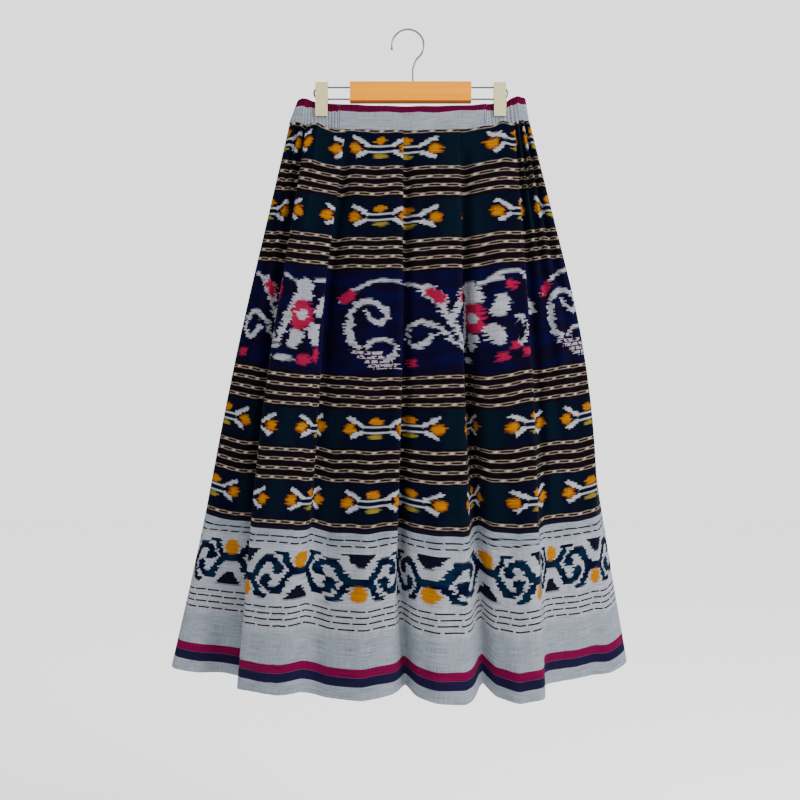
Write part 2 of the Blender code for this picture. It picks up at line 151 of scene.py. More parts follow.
def eased(u):
    """0 to 1 with a soft start and a soft end."""
    u = np.clip(u, 0, 1)
    return u * u * (3 - 2 * u)


def gathered(run):
    """Small zigzag folds along a straight path, as deep as their cloth makes them."""
    turns = 2 * run.count
    along = np.array([run.x1 - run.x0, run.y1 - run.y0])
    length = np.hypot(*along)
    normal = np.array([along[1], -along[0]]) / length
    leg = (run.stop - run.start) / turns
    half_tip = min(1.1, 0.4 * length / turns)
    deep = math.sqrt(max(leg * leg - (length / turns) ** 2, 1.0)) - 2 * half_tip
    folds = []
    for turn in range(1, turns):
        side = 0.5 if turn % 2 else -0.5
        centre = np.array([run.x0, run.y0]) + along * turn / turns + normal * deep * side
        for flat in (-half_tip, half_tip):
            place = centre + along / length * flat
            folds.append(Fold(run.start + turn * leg + flat, place[0], place[1]))
    return folds


def section(folds, soft):
    """A curve through the folds as a function of the cloth's own length, rounded by soft."""
    cloth = np.array([f.cloth for f in folds], float)
    xs = np.array([f.x for f in folds], float)
    ys = np.array([f.y for f in folds], float)
    taps = np.linspace(-1.0, 1.0, 9)

    def curve(s):
        s = np.asarray(s, float)
        room = np.minimum(soft, np.minimum(s - cloth[0], cloth[-1] - s))
        at = s[:, None] + taps[None, :] * room[:, None]
        x = np.interp(at, cloth, xs).mean(axis=1)
        y = np.interp(at, cloth, ys).mean(axis=1)
        return np.stack([x, y], axis=1)

    return curve


def shares(taus):
    """How much of the waist, middle and hem sections shows at each height."""
    taps = np.linspace(-1.0, 1.0, 11)
    room = np.minimum(0.2, np.minimum(taus, 1 - taus))
    at = taus[:, None] + taps[None, :] * room[:, None]
    waist = np.clip(1 - 2 * at, 0, 1).mean(axis=1)
    hem = np.clip(2 * at - 1, 0, 1).mean(axis=1)
    return np.stack([waist, 1 - waist - hem, hem], axis=1)


def hang(waist, middle, hem, samples, rows, drops):
    """The cloth's middle surface: sections blended downwards, with every thread full length."""
    three = np.array([waist(samples), middle(samples), hem(samples)])
    taus = np.linspace(0.0, 1.0, rows + 1)
    flat = np.array([(share[:, None, None] * three).sum(axis=0) for share in shares(taus)])
    z = np.zeros(flat.shape[:2])
    z[0] = height_at(SEAM_HEIGHTS, flat[0, :, 0]) - SEAM_GAP / 2
    step = SKIRT_DROP / rows
    for row in range(1, rows + 1):
        run = np.linalg.norm(flat[row] - flat[row - 1], axis=1)
        z[row] = z[row - 1] - np.sqrt(np.maximum(step * step - run * run, (0.5 * step) ** 2))
    down = np.interp(samples, [d.cloth for d in drops], [d.down for d in drops])
    z -= eased((taus - 0.3) / 0.7)[:, None] * down[None, :]
    return np.dstack([flat, z])


def columns(folds, most):
    """Where the columns of the fine mesh stand: at every fold line, and evenly between them."""
    marks = sorted({round(f.cloth, 3) for f in folds})
    filled = [marks[0]]
    for mark in marks[1:]:
        pieces = max(1, math.ceil((mark - filled[-1]) / most))
        filled.extend(np.linspace(filled[-1], mark, pieces + 1)[1:])
    return np.array(filled)


print("shares half way:", shares(np.array([0.5])).round(2))

# %% [markdown]
# ## A wall out of a grid
# A cloth has two faces and an edge. A Solidify modifier would do it, but where pressed folds lie a
# millimetre or two apart it can push one layer through the next. So the two faces are offset by
# hand along the grid's own normals. The flat width and drop become the UV map, in metres: the dye
# pattern then follows the threads into every fold, as it does in real cloth.

# %% Shell from a grid
SHARP_ANGLE = math.radians(70)


def placed(name, data):
    """A new object in the scene, at the origin until it is told otherwise."""
    obj = bpy.data.objects.new(name, data)
    bpy.context.scene.collection.objects.link(obj)
    return obj


def normals_of(grid):
    """Which way the cloth faces at each point of a grid."""
    before = np.diff(grid, axis=1)
    before /= np.maximum(np.linalg.norm(before, axis=2, keepdims=True), 1e-9)
    first = np.concatenate([before[:, :1], before], axis=1)
    last = np.concatenate([before, before[:, -1:]], axis=1)
    along = first + last
    along /= np.maximum(np.linalg.norm(along, axis=2, keepdims=True), 1e-6)
    normal = np.cross(np.gradient(grid, axis=0), along)
    return normal / np.maximum(np.linalg.norm(normal, axis=2, keepdims=True), 1e-9)


def shell(name, grid, across, down, thick):
    """A closed sheet about a grid of points in millimetres; across and down give the flat cut."""
    rows, cols = grid.shape[:2]
    out = normals_of(grid) * (thick / 2)
    out[[0, -1], :, 2] = 0
    verts = np.concatenate([(grid + out).reshape(-1, 3), (grid - out).reshape(-1, 3)]) * MM
    index = np.arange(rows * cols).reshape(rows, cols)
    a, b = index[:-1, :-1].ravel(), index[:-1, 1:].ravel()
    d, e = index[1:, :-1].ravel(), index[1:, 1:].ravel()
    back = rows * cols
    rim = np.concatenate([index[0], index[1:, -1], index[-1, -2::-1], index[-2:0:-1, 0]])
    after = np.roll(rim, -1)
    faces = np.concatenate([
        np.stack([a, b, e, d], axis=1),
        np.stack([a, d, e, b], axis=1) + back,
        np.stack([after, rim, rim + back, after + back], axis=1),
    ])
    mesh = bpy.data.meshes.new(name)
    mesh.from_pydata(verts.tolist(), [], faces.tolist())
    mesh.update()
    flat_at = np.stack([np.broadcast_to(part, (rows, cols)) for part in (across, down)], axis=2)
    flat_at = np.concatenate([flat_at.reshape(-1, 2)] * 2) * MM
    uv = mesh.uv_layers.new(name="flat_cut")
    corners = np.zeros(len(mesh.loops), int)
    mesh.loops.foreach_get("vertex_index", corners)
    uv.data.foreach_set("uv", flat_at[corners].ravel())
    points = verts[faces]
    volume = np.einsum("ij,ij->", points[:, 0], np.cross(points[:, 1], points[:, 2]))
    volume += np.einsum("ij,ij->", points[:, 0], np.cross(points[:, 2], points[:, 3]))
    if volume < 0:
        mesh.flip_normals()
    mesh.shade_smooth()
    mesh.set_sharp_from_angle(angle=SHARP_ANGLE)
    print(name, len(faces) * 2, "triangles")
    return placed(name, mesh)


# %% [markdown]
# ## The front width
# In the photograph the pleats are knife pleats: crisp near the band, and opening to soft waves at
# the hem. Columns stand at each fold line and every few millimetres between, so a pressed edge
# stays an edge.

# %% Front panel
front_waist = []
for run in (LEFT_BEHIND, LEFT_BEFORE):
    front_waist += [Fold(run.start, run.x0, run.y0)] + gathered(run)
    if run is LEFT_BEHIND:
        front_waist.append(Fold(run.stop, run.x1, run.y1))
front_waist += WAIST_FOLDS
for run in (RIGHT_BEFORE, RIGHT_BEHIND):
    if run is RIGHT_BEHIND:
        front_waist.append(Fold(run.start, run.x0, run.y0))
    front_waist += gathered(run) + [Fold(run.stop, run.x1, run.y1)]

FRONT_ROWS = 128
COLUMN_STEP = 3.6
PRESSED, EASED, LOOSE = 0.8, 9.0, 14.0
front_across = columns(front_waist, COLUMN_STEP)
front_grid = hang(
    section(front_waist, PRESSED),
    section(MIDDLE_FOLDS, EASED),
    section(HEM_FOLDS, LOOSE),
    front_across,
    FRONT_ROWS,
    HEM_DROPS,
)
front_down = np.linspace(0, SKIRT_DROP, FRONT_ROWS + 1)[:, None]
print("front grid", front_grid.shape)

# %% [markdown]
# ## Soft creases
# Real cloth is never as even as a rule makes it. Each line of the table is one soft trough or
# ridge: where it starts, where it ends, how wide and how deep it is. A crease moves the cloth only
# towards the front or the back, by an amount that depends on place alone. So the layers of a pleat
# move together and never pass through each other. The puckers lift and drop the waist seam where
# the elastic gathers it.

# %% Creases and puckers of the front
Crease = namedtuple("Crease", "x0 z0 x1 z1 wide deep")
FRONT_CREASES = table(
    Crease,
    (-94, -190, -112, -540, 11, 2.2), (-66, -175, -62, -430, 15, -1.6),
    (-30, -300, -44, -820, 12, 2.6), (-58, -560, -78, -1000, 16, -3.2),
    (-112, -640, -138, -1000, 14, 3.4), (-150, -520, -176, -930, 15, -2.8),
    (18, -175, 26, -470, 9, 1.8), (46, -220, 58, -690, 14, -2.2), (30, -640, 22, -1000, 12, 3.0),
    (66, -480, 70, -980, 12, 2.4), (100, -190, 118, -500, 9, 2.0),
    (128, -260, 160, -720, 13, -2.6), (146, -600, 176, -1000, 14, 3.2),
    (112, -700, 130, -1000, 12, -2.4), (-170, -230, -204, -560, 10, 2.2),
    (-206, -420, -250, -800, 14, -2.8), (-262, -640, -306, -1000, 15, 3.0),
    (-224, -800, -236, -1000, 12, 2.6), (186, -240, 222, -600, 10, 2.2),
    (214, -360, 270, -820, 15, -3.0), (250, -620, 300, -1000, 15, 3.2),
    (196, -760, 214, -1000, 12, 2.8),
)
PUCKERS = table(
    Height,
    (-178, 0), (-168, 3.5), (-153, -3.5), (-138, 4), (-130, 0), (-111, -2), (-95, 0), (118, 0),
    (130, -2), (143, 4.3), (157, -3), (170, 3.5), (181, 0),
)


CREASE_SWAY = 3
RIPPLE = 0.35


def creased(grid, creases):
    """How far each point moves towards the back, from where it is on the front view."""
    x, z = grid[:, :, 0], grid[:, :, 2]
    move = np.zeros(x.shape)
    for c in creases:
        along = (z - c.z0) / (c.z1 - c.z0)
        middle = c.x0 + (c.x1 - c.x0) * np.clip(along, 0, 1)
        middle += CREASE_SWAY * np.sin(5 * along + c.x0)
        fade = eased(along / 0.3) * eased((1.15 - along) / 0.3)
        move += c.deep * fade * np.exp(-(((x - middle) / c.wide) ** 2))
    move += RIPPLE * np.sin(x / 9 + z / 61) * np.sin(z / 47 - x / 33)
    return move


def pucker(x):
    spread_out = x[..., None] + np.linspace(-5, 5, 7)
    return height_at(PUCKERS, spread_out).mean(axis=-1)


print("soft creases in front:", len(FRONT_CREASES))

# %% [markdown]
# ## A trough beside each pleat
# A pressed pleat is seen by the dark line along its edge. On the real skirt the cloth turns under
# there. The folds of the tables are shallow, so a soft trough is added just outside each edge, on
# the side where the cloth goes under. It fades out where the pleat opens.

# %% Troughs, then all of it laid on the front
Pleat = namedtuple("Pleat", "cloth side deep wide foot")
PLEATS = table(
    Pleat,
    (-253, -1, 8.0, 7.0, -760), (-185, 1, 9.0, 7.0, -620), (0, 1, 10.0, 6.5, -860),
    (170, 1, 11.0, 8.0, -760), (327, 1, 8.0, 7.5, -800),
)


def valleys(grid, across):
    """A soft trough beside each pleat's edge, where the cloth turns under."""
    x, z = grid[:, :, 0], grid[:, :, 2]
    move = np.zeros(x.shape)
    for pleat in PLEATS:
        near = np.abs(across - pleat.cloth) < 36
        pick = (x[:, near] * pleat.side).argmax(axis=1)
        rows = np.arange(len(x))
        edge_x, edge_z = x[:, near][rows, pick], z[:, near][rows, pick]
        middle = np.interp(-z, -edge_z, edge_x) + pleat.side * 0.9 * pleat.wide
        fade = eased((-168 - z) / 60) * eased((z - pleat.foot) / 160)
        move += pleat.deep * fade * np.exp(-(((x - middle) / pleat.wide) ** 2))
    return move


near_waist = 1 - eased(np.linspace(0, 1, FRONT_ROWS + 1) / 0.11)
front_of_waist = np.where(front_grid[0, :, 1] < 4, 1.0, 0.0)
front_grid[:, :, 2] += near_waist[:, None] * (pucker(front_grid[0, :, 0]) * front_of_waist)[None, :]
trough = valleys(front_grid, front_across)
front_grid[:, :, 1] += creased(front_grid, FRONT_CREASES) * (1 - near_waist)[:, None] + trough
print("deepest trough", round(float(trough.max()), 1), "mm")

# %% [markdown]
# ## The back width
# The back is gathered by the elastic and falls in broad even waves. It has no table of its own:
# a rule places the folds, a little uneven, between the two side seams.

# %% Back panel
BACK_GATHERS = 30
BACK_WAVES = 9


def waves(first, last, bulge):
    """Broad folds between the two side seams."""
    folds = [Fold(0, first.x, first.y)]
    turns = 2 * BACK_WAVES
    leg = BACK_WIDTH / turns
    deep = math.sqrt(max(leg * leg - ((last.x - first.x) / turns) ** 2, 1.0)) * 0.97
    for turn in range(1, turns):
        u = turn / turns
        side = deep / 2 if turn % 2 else -deep / 2
        y = first.y + (last.y - first.y) * u + bulge * math.sqrt(math.sin(math.pi * u))
        y += side * (1 + 0.15 * math.sin(2.3 * turn))
        folds.append(Fold(BACK_WIDTH * u, first.x + (last.x - first.x) * u, y))
    folds.append(Fold(BACK_WIDTH, last.x, last.y))
    return folds


left_seam, right_seam = front_waist[0], front_waist[-1]
back_run = Gathers(
    0, BACK_WIDTH, left_seam.x, left_seam.y, right_seam.x, right_seam.y, BACK_GATHERS
)
back_waist = [Fold(0, left_seam.x, left_seam.y)] + gathered(back_run)
back_waist.append(Fold(BACK_WIDTH, right_seam.x, right_seam.y))
BACK_ROWS = 112
MIDDLE_BULGE, HEM_BULGE = 14, 45
back_across = columns(back_waist, COLUMN_STEP)
back_grid = hang(
    section(back_waist, PRESSED),
    section(waves(MIDDLE_FOLDS[0], MIDDLE_FOLDS[-1], MIDDLE_BULGE), 12.0),
    section(waves(HEM_FOLDS[0], HEM_FOLDS[-1], HEM_BULGE), 18.0),
    back_across,
    BACK_ROWS,
    (Drop(0, 0), Drop(BACK_WIDTH, 0)),
)
for edge, inner in ((0, 1), (-1, -2)):
    toward = back_grid[:, inner] - back_grid[:, edge]
    toward /= np.linalg.norm(toward, axis=1, keepdims=True)
    back_grid[:, edge] += toward * (CLOTH + SEAM_GAP)
back_down = np.linspace(0, SKIRT_DROP, BACK_ROWS + 1)[:, None]

# Soft creases of the back, which the photograph doesn't show: like those of the front
BACK_CREASES = table(
    Crease,
    (-120, -260, -150, -600, 14, -2.4), (-70, -240, -84, -560, 12, 2.2),
    (-20, -300, -30, -760, 14, -2.6), (40, -250, 52, -620, 12, 2.0),
    (92, -280, 120, -700, 14, -2.6), (150, -320, 190, -800, 14, 2.4),
    (-170, -420, -220, -900, 16, 2.8), (-60, -620, -70, -1000, 16, 3.0),
    (10, -680, 14, -1000, 14, -2.8), (80, -640, 96, -1000, 15, 3.0),
    (210, -560, 260, -1000, 16, -3.0), (-260, -680, -300, -1000, 16, -2.8),
)
gather_fade = eased(np.linspace(0, 1, BACK_ROWS + 1) / 0.2)[:, None]
side_fade = eased(np.minimum(back_across, BACK_WIDTH - back_across) / 60)[None, :]
back_grid[:, :, 1] += creased(back_grid, BACK_CREASES) * gather_fade * side_fade
print("back grid", back_grid.shape)

# %% [markdown]
# ## Where the pattern lies on the cut
# A handwoven repeat is never quite even, and each real pleat hides more or less cloth than the one
# built here. Three tables make up for that. They slide the pattern across the cloth, by up to
# 20 mm for the bones and the flowers and by up to 76 mm for the scrolls, so that each motif comes
# out from under the pleats where it does on the real skirt.

# %% Slide of the pattern, and the shells of both widths
Slide = namedtuple("Slide", "cloth move")
PLEAT_SLIDES = table(
    Slide,
    (-530, 0), (85, 0), (169, -12), (205, 0), (236, 20), (250, 14), (292, 0), (530, 0),
)
FLOWER_SLIDES = table(
    Slide,
    (-530, -4), (-310, -4), (-256, -18), (-172, -18), (-115, -6), (-79, -6), (-40, 0), (530, 0),
)
SCROLL_SLIDES = table(
    Slide,
    (-530, 44.5), (-353, 44.5), (-161, 15.5), (-47, -17), (113, -14), (243, -62.5), (338, -76),
    (384, -40.5), (530, -40.5),
)


def slid(table):
    return np.interp(front_across, [s.cloth for s in table], [s.move for s in table])


# how much of each table counts, from the waist seam (0) to the hem (853)
flower_share = np.interp(front_down, [0, 190, 230, 380, 440, 853], [0, 0, 1, 1, 0.3, 0])
scroll_share = np.interp(front_down, [0, 612, 632, 716, 853], [0, 0, 1, 1, 0.9])
front_chart = front_across[None, :] + (1 - scroll_share) * slid(PLEAT_SLIDES)[None, :]
front_chart += flower_share * slid(FLOWER_SLIDES)[None, :]
front_chart += scroll_share * slid(SCROLL_SLIDES)[None, :]
SHELL_THICK = 0.8
BACK_CHART_START = 1530
front = shell("front_cloth", front_grid, front_chart, front_down, SHELL_THICK)
back_chart = BACK_CHART_START - back_across[None, :]
back = shell("back_cloth", back_grid, back_chart, back_down, SHELL_THICK)

# %% [markdown]
# ## The waistband
# The middle of the front is a flat doubled strip; the rest is a casing with elastic in it, so it
# has fine upright ribs. Both follow a path in plan, given as a table: depth at the top edge, where
# the clips squeeze it, and depth at the seam, where the pleats fill it.

# %% Band shells
RIB_PITCH = 5.2
RIB_DEPTH = 2.4
RIB_LEAN = 2.6
RIB_DRIFT = 1.4
BAND_ROWS = 19
BAND_TALL = 38.0
ELASTIC_CHART_START = 400


def band_grid(path_table, count, ribs):
    """A strip along a path in plan, and how far along it each column stands."""
    keys = np.array([(b.x, b.foot_x, b.top_y, b.foot_y) for b in path_table], float)
    length = np.concatenate([[0], np.cumsum(np.hypot(np.diff(keys[:, 1]), np.diff(keys[:, 3])))])
    at = np.linspace(0, length[-1], count + 1)
    top_x = np.interp(at, length, keys[:, 0])
    foot_x = np.interp(at, length, keys[:, 1])
    front_share = np.clip((4 - np.interp(at, length, keys[:, 3])) / 3, 0, 1)
    top = height_at(TOP_HEIGHTS, top_x) + 0.5 * np.sin(at / 11) * np.sin(at / 29)
    foot = height_at(SEAM_HEIGHTS, foot_x) + SEAM_GAP / 2 + 0.1 + pucker(foot_x) * front_share
    downs = np.linspace(0, 1, BAND_ROWS)
    rows = []
    for down in downs:
        flare = eased((down - 0.7) / 0.3)
        x = top_x + (foot_x - top_x) * down
        y = np.interp(at, length, keys[:, 2] * (1 - flare) + keys[:, 3] * flare)
        rows.append(np.stack([x, y, top + (foot - top) * down], axis=1))
    grid = np.array(rows)
    if ribs:
        path = np.gradient(grid, axis=1)
        path[:, :, 2] = 0
        path /= np.linalg.norm(path, axis=2, keepdims=True)
        side = np.stack([path[:, :, 1], -path[:, :, 0], 0 * path[:, :, 0]], axis=2)
        ease = np.clip(np.minimum(at, length[-1] - at) / 4, 0, 1)
        lean = downs[:, None] * RIB_LEAN * np.sin(at / 23)[None, :]
        turn = 2 * math.pi * (at[None, :] + lean) / RIB_PITCH
        turn += RIB_DRIFT * np.sin(at / 9.0)[None, :]
        uneven = 0.75 + 0.25 * np.sin(at / 6.3 + 1)[None, :]
        pressed = np.interp(downs, [0, 0.35, 0.7, 1], [0.42, 0.42, 0.6, 1.0])[:, None]
        wave = np.sign(np.sin(turn)) * np.abs(np.sin(turn)) ** 0.8
        grid += side * (RIB_DEPTH / 2 * wave * uneven * pressed * ease[None, :])[:, :, None]
    return grid, at, downs


front_band_grid, front_band_at, band_downs = band_grid(FRONT_BAND, 90, False)
elastic_grid, elastic_at, band_downs = band_grid(ELASTIC_BAND, 700, True)
band_drop = BAND_TALL * band_downs[:, None]
front_band = shell("flat_band_cloth", front_band_grid, front_band_at[None, :], band_drop, 1.6)
elastic_chart = ELASTIC_CHART_START + elastic_at[None, :]
elastic_band = shell("elastic_band_cloth", elastic_grid, elastic_chart, band_drop, 1.2)

# %% [markdown]
# ## A small language for dye
# Ikat is dyed before it is woven: each motif is a bundle of threads tied off and dipped. That is
# why its edges are stepped and a little blurred. A painted picture would be one way to show it. A
# better one for a reusable part is to work the cloth out in the shader: every motif is a distance
# in millimetres of flat cloth, and a few helpers keep the sums readable.

# %% Helpers for shader sums
def colour(red, green, blue):
    """A colour as the eye names it, 0 to 255, turned into the light values a shader needs."""
    light = []
    for part in (red / 255, green / 255, blue / 255):
        light.append(part / 12.92 if part <= 0.04045 else ((part + 0.055) / 1.055) ** 2.4)
    return (*light, 1.0)


class Chart:
    """Adds sums to a node tree. A value is a number, a tuple or another node's output."""

    def __init__(self, tree):
        self.tree = tree

    def add(self, kind, **settings):
        node = self.tree.nodes.new(kind)
        for name, value in settings.items():
            setattr(node, name, value)
        return node

    def feed(self, socket, value):
        if isinstance(value, bpy.types.NodeSocket):
            self.tree.links.new(value, socket)
        else:
            socket.default_value = value

    def sum(self, operation, *values, clamp=False):
        node = self.add("ShaderNodeMath", operation=operation, use_clamp=clamp)
        for socket, value in zip(node.inputs, values):
            self.feed(socket, value)
        return node.outputs[0]

    def times(self, one, two, clamp=False):
        return self.sum("MULTIPLY", one, two, clamp=clamp)

    def plus(self, one, two):
        return self.sum("ADD", one, two)

    def minus(self, one, two):
        return self.sum("SUBTRACT", one, two)

    def size(self, value):
        return self.sum("ABSOLUTE", value)

    def most(self, one, two):
        return self.sum("MAXIMUM", one, two)

    def vec(self, operation, *values):
        node = self.add("ShaderNodeVectorMath", operation=operation)
        sockets = [node.inputs[0], node.inputs["Scale"]] if operation == "SCALE" else node.inputs
        for socket, value in zip(sockets, values):
            self.feed(socket, value)
        return node.outputs["Value" if operation in ("LENGTH", "DOT_PRODUCT") else "Vector"]

    def point(self, x, y):
        node = self.add("ShaderNodeCombineXYZ")
        self.feed(node.inputs[0], x)
        self.feed(node.inputs[1], y)
        return node.outputs[0]

    def parts(self, vector):
        node = self.add("ShaderNodeSeparateXYZ")
        self.feed(node.inputs[0], vector)
        return node.outputs

    def nearest(self, distances):
        best = distances[0]
        for other in distances[1:]:
            best = self.sum("MINIMUM", best, other)
        return best

    def inside(self, distance, soft=0.8):
        """1 inside a shape, 0 outside, with a blurred edge soft millimetres wide."""
        return self.sum("MULTIPLY_ADD", distance, -1 / soft, 0.5, clamp=True)

    def strip(self, along, start, stop, soft=0.5):
        middle, half = (start + stop) / 2, (stop - start) / 2
        off = self.size(self.minus(along, middle))
        return self.inside(self.minus(off, half), soft)

    def over(self, share, under, above):
        node = self.add("ShaderNodeMix", data_type="RGBA")
        self.feed(node.inputs["Factor"], share)
        self.feed(node.inputs[6], under)
        self.feed(node.inputs[7], above)
        return node.outputs[2]

    def stroke(self, p, points, half):
        """Distance to a line through points, drawn half a width either side."""
        parts = []
        for a, b in zip(points, points[1:]):
            run = (b[0] - a[0], b[1] - a[1], 0)
            length = run[0] ** 2 + run[1] ** 2
            off = self.vec("SUBTRACT", p, (a[0], a[1], 0))
            share = self.vec("DOT_PRODUCT", off, tuple(c / length for c in run))
            share = self.times(share, 1.0, clamp=True)
            foot = self.vec("SCALE", run, share)
            parts.append(self.vec("LENGTH", self.vec("SUBTRACT", off, foot)))
        return self.minus(self.nearest(parts), half)

    def spot(self, p, centre, radii):
        """Distance to an upright oval."""
        off = self.vec("SUBTRACT", p, (centre[0], centre[1], 0))
        scaled = self.vec("MULTIPLY", off, (1 / radii[0], 1 / radii[1], 0))
        least = min(radii)
        return self.sum("MULTIPLY_ADD", self.vec("LENGTH", scaled), least, -least)

    def curl(self, p, centre, radii, half, away, cut_at):
        """An oval ring that is open on one side."""
        off = self.vec("SUBTRACT", p, (centre[0], centre[1], 0))
        scaled = self.vec("MULTIPLY", off, (1 / radii[0], 1 / radii[1], 0))
        mean = (radii[0] + radii[1]) / 2
        ring = self.sum("MULTIPLY_ADD", self.vec("LENGTH", scaled), mean, -mean)
        ring = self.minus(self.size(ring), half)
        side = self.vec("DOT_PRODUCT", off, (away[0], away[1], 0))
        return self.most(ring, self.minus(side, cut_at))

    def shapes(self, p, curls=(), strokes=(), spots=()):
        """The nearest of many shapes; a row of strokes is half a width, then the points."""
        drawn = [self.curl(p, *row) for row in curls]
        drawn += [self.stroke(p, points, half) for half, *points in strokes]
        drawn += [self.spot(p, *row) for row in spots]
        return self.nearest(drawn)

    def repeat(self, along, period, middle):
        """The place within one repeat, 0 at its middle."""
        start = middle - period / 2
        return self.minus(self.sum("WRAP", along, start + period, start), middle)

    def noise(self, vector, scale=1.0, detail=0.0, depth="2D"):
        node = self.add("ShaderNodeTexNoise", noise_dimensions=depth)
        self.feed(node.inputs["Vector"], vector)
        node.inputs["Scale"].default_value = scale
        node.inputs["Detail"].default_value = detail
        return node.outputs["Fac"]

    def cloud(self, across, down, fine_across, fine_down, detail=0.0):
        """Soft noise over the flat cloth; the two numbers say how fine it is each way."""
        x = self.times(across, fine_across)
        y = self.times(down, fine_down)
        return self.noise(self.point(x, y), 1.0, detail)

    def grain(self, stretch, detail):
        """Noise in the solid itself, finer along the axes with the larger numbers."""
        place = self.add("ShaderNodeTexCoord").outputs["Object"]
        return self.noise(self.vec("MULTIPLY", place, stretch), 1.0, detail, "3D")

    def bump(self, height, strength, distance):
        node = self.add("ShaderNodeBump")
        node.inputs["Strength"].default_value = strength
        node.inputs["Distance"].default_value = distance
        self.feed(node.inputs["Height"], height)
        return node.outputs[0]

    def finish(self, tone, settings):
        """The shader's colour and its other sockets."""
        shader = self.tree.nodes["Principled BSDF"]
        self.feed(shader.inputs["Base Color"], tone)
        for name, value in settings.items():
            self.feed(shader.inputs[name], value)


def new_material(name):
    material = bpy.data.materials.new(name)
    material.use_nodes = True
    return material, Chart(material.node_tree)


print("dye white:", [round(c, 2) for c in colour(200, 200, 205)])

# %% [markdown]
# ## The threads' own steps
# Before any motif, the place on the cloth is worked out twice: once as it is, for woven stripes
# with clean edges, and once shifted row by row, for the tied and dyed motifs. A smooth noise shifts
# each row of weft a few millimetres, which draws the stepped edge that ikat is known for.

# %% Place on the cloth, plain and shifted
WEFT_STEP = 2.4
SKEW = 7.0
ROW_SHIFT = 1.37


def cloth_place(chart, feather):
    uv = chart.add("ShaderNodeUVMap", uv_map="flat_cut").outputs[0]
    across, down, _ = chart.parts(chart.vec("SCALE", uv, 1000.0))
    skew = chart.cloud(across, down, 1 / 55, 1 / 260)
    down = chart.plus(down, chart.sum("MULTIPLY_ADD", skew, SKEW, -SKEW / 2))
    row = chart.sum("FLOOR", chart.times(down, 1 / WEFT_STEP))
    shift = chart.minus(chart.cloud(across, row, 1 / 12, ROW_SHIFT), 0.5)
    dyed_across = chart.plus(across, chart.times(shift, feather))
    dyed_down = chart.times(chart.plus(row, 0.5), WEFT_STEP)
    return across, down, dyed_across, dyed_down


# %% [markdown]
# ## Chains, bones, flowers and scrolls
# The motifs follow the photograph, from a chart: rows of small linked dashes,
# bands of bone-shaped figures with a yellow knob at each end, one broad band of flowers and
# tendrils, and near the hem a scroll with yellow knobs on a pale ground.

# %% Rows of linked dashes
CHAIN_ROWS = (
    1.5, 57.8, 71.6, 84.7, 97.7, 167.3, 180.2, 193.9, 208.3, 377.4, 390.9, 405.2, 418.6,
    488.7, 502.8, 516.9, 531.0, 597.5,
)
CHAIN_PERIOD = 22.2
CREAM = colour(152, 138, 126)
KNOT = colour(210, 198, 184)
CHAIN_DARK = colour(32, 14, 18)


def chains(chart, cloth, across, down, rows):
    """Cream links with a dark dash in each, on every row of the table."""
    off = [chart.size(chart.minus(down, row)) for row in rows]
    v = chart.nearest(off)
    drift = chart.sum("MULTIPLY_ADD", down, 0.37, across)
    u = chart.size(chart.repeat(drift, CHAIN_PERIOD, 0.0))
    tall = chart.sum("MULTIPLY_ADD", u, -0.07, 2.75)
    link = chart.inside(chart.minus(v, tall), 1.1)
    dash_tall = chart.sum("MULTIPLY_ADD", v, 2.6, -3.4)
    dash = chart.inside(chart.most(chart.minus(u, 7.0), dash_tall), 1.6)
    knot = chart.inside(chart.minus(9.8, u), 2.4)
    cloth = chart.over(link, cloth, chart.over(knot, CREAM, KNOT))
    return chart.over(chart.times(dash, link), cloth, CHAIN_DARK)


# %% [markdown]
# ## Bones
# Each dark band carries one figure again and again: two pale lines that fork at both ends, with a
# yellow knob in each fork. Left and right are alike, so only one half is charted and the other is
# its mirror. The knob is brown under yellow, because the second dye never covers the first fully.

# %% Bands of bones
BONE_MIDDLES = (29.0, 133.6, 454.2, 564.3)
BONE_BAND_HALF = 28.6
BONE_PERIOD = 122.0
BONE_MIDDLE = 87.0
BONE_ARMS = ((2.9, (19, -5), (27, -10), (39, -16)), (3.0, (22, 5), (35, 12)))
BONE_SHAFTS = ((1.25, (0, -4.4), (20, -4.4)), (1.25, (0, 4.4), (22, 4.4)))
BONE_KNOB = ((38, 0), (9.8, 8.6))
BONE_BLOCK = ((0, -13), (9.5, 5.6))
BONE_FOOT = ((0, 10.8), (11, 3.2))
TEAL_FROM, TEAL_SOFT = 47.0, 16.0
YELLOW = colour(196, 128, 30)
BLOCK_YELLOW = colour(190, 120, 38)
BROWN = colour(140, 76, 28)
WHITE = colour(196, 198, 206)
OLIVE = colour(150, 134, 66)
NAVY = colour(4, 9, 32)
TEAL = colour(0, 20, 36)


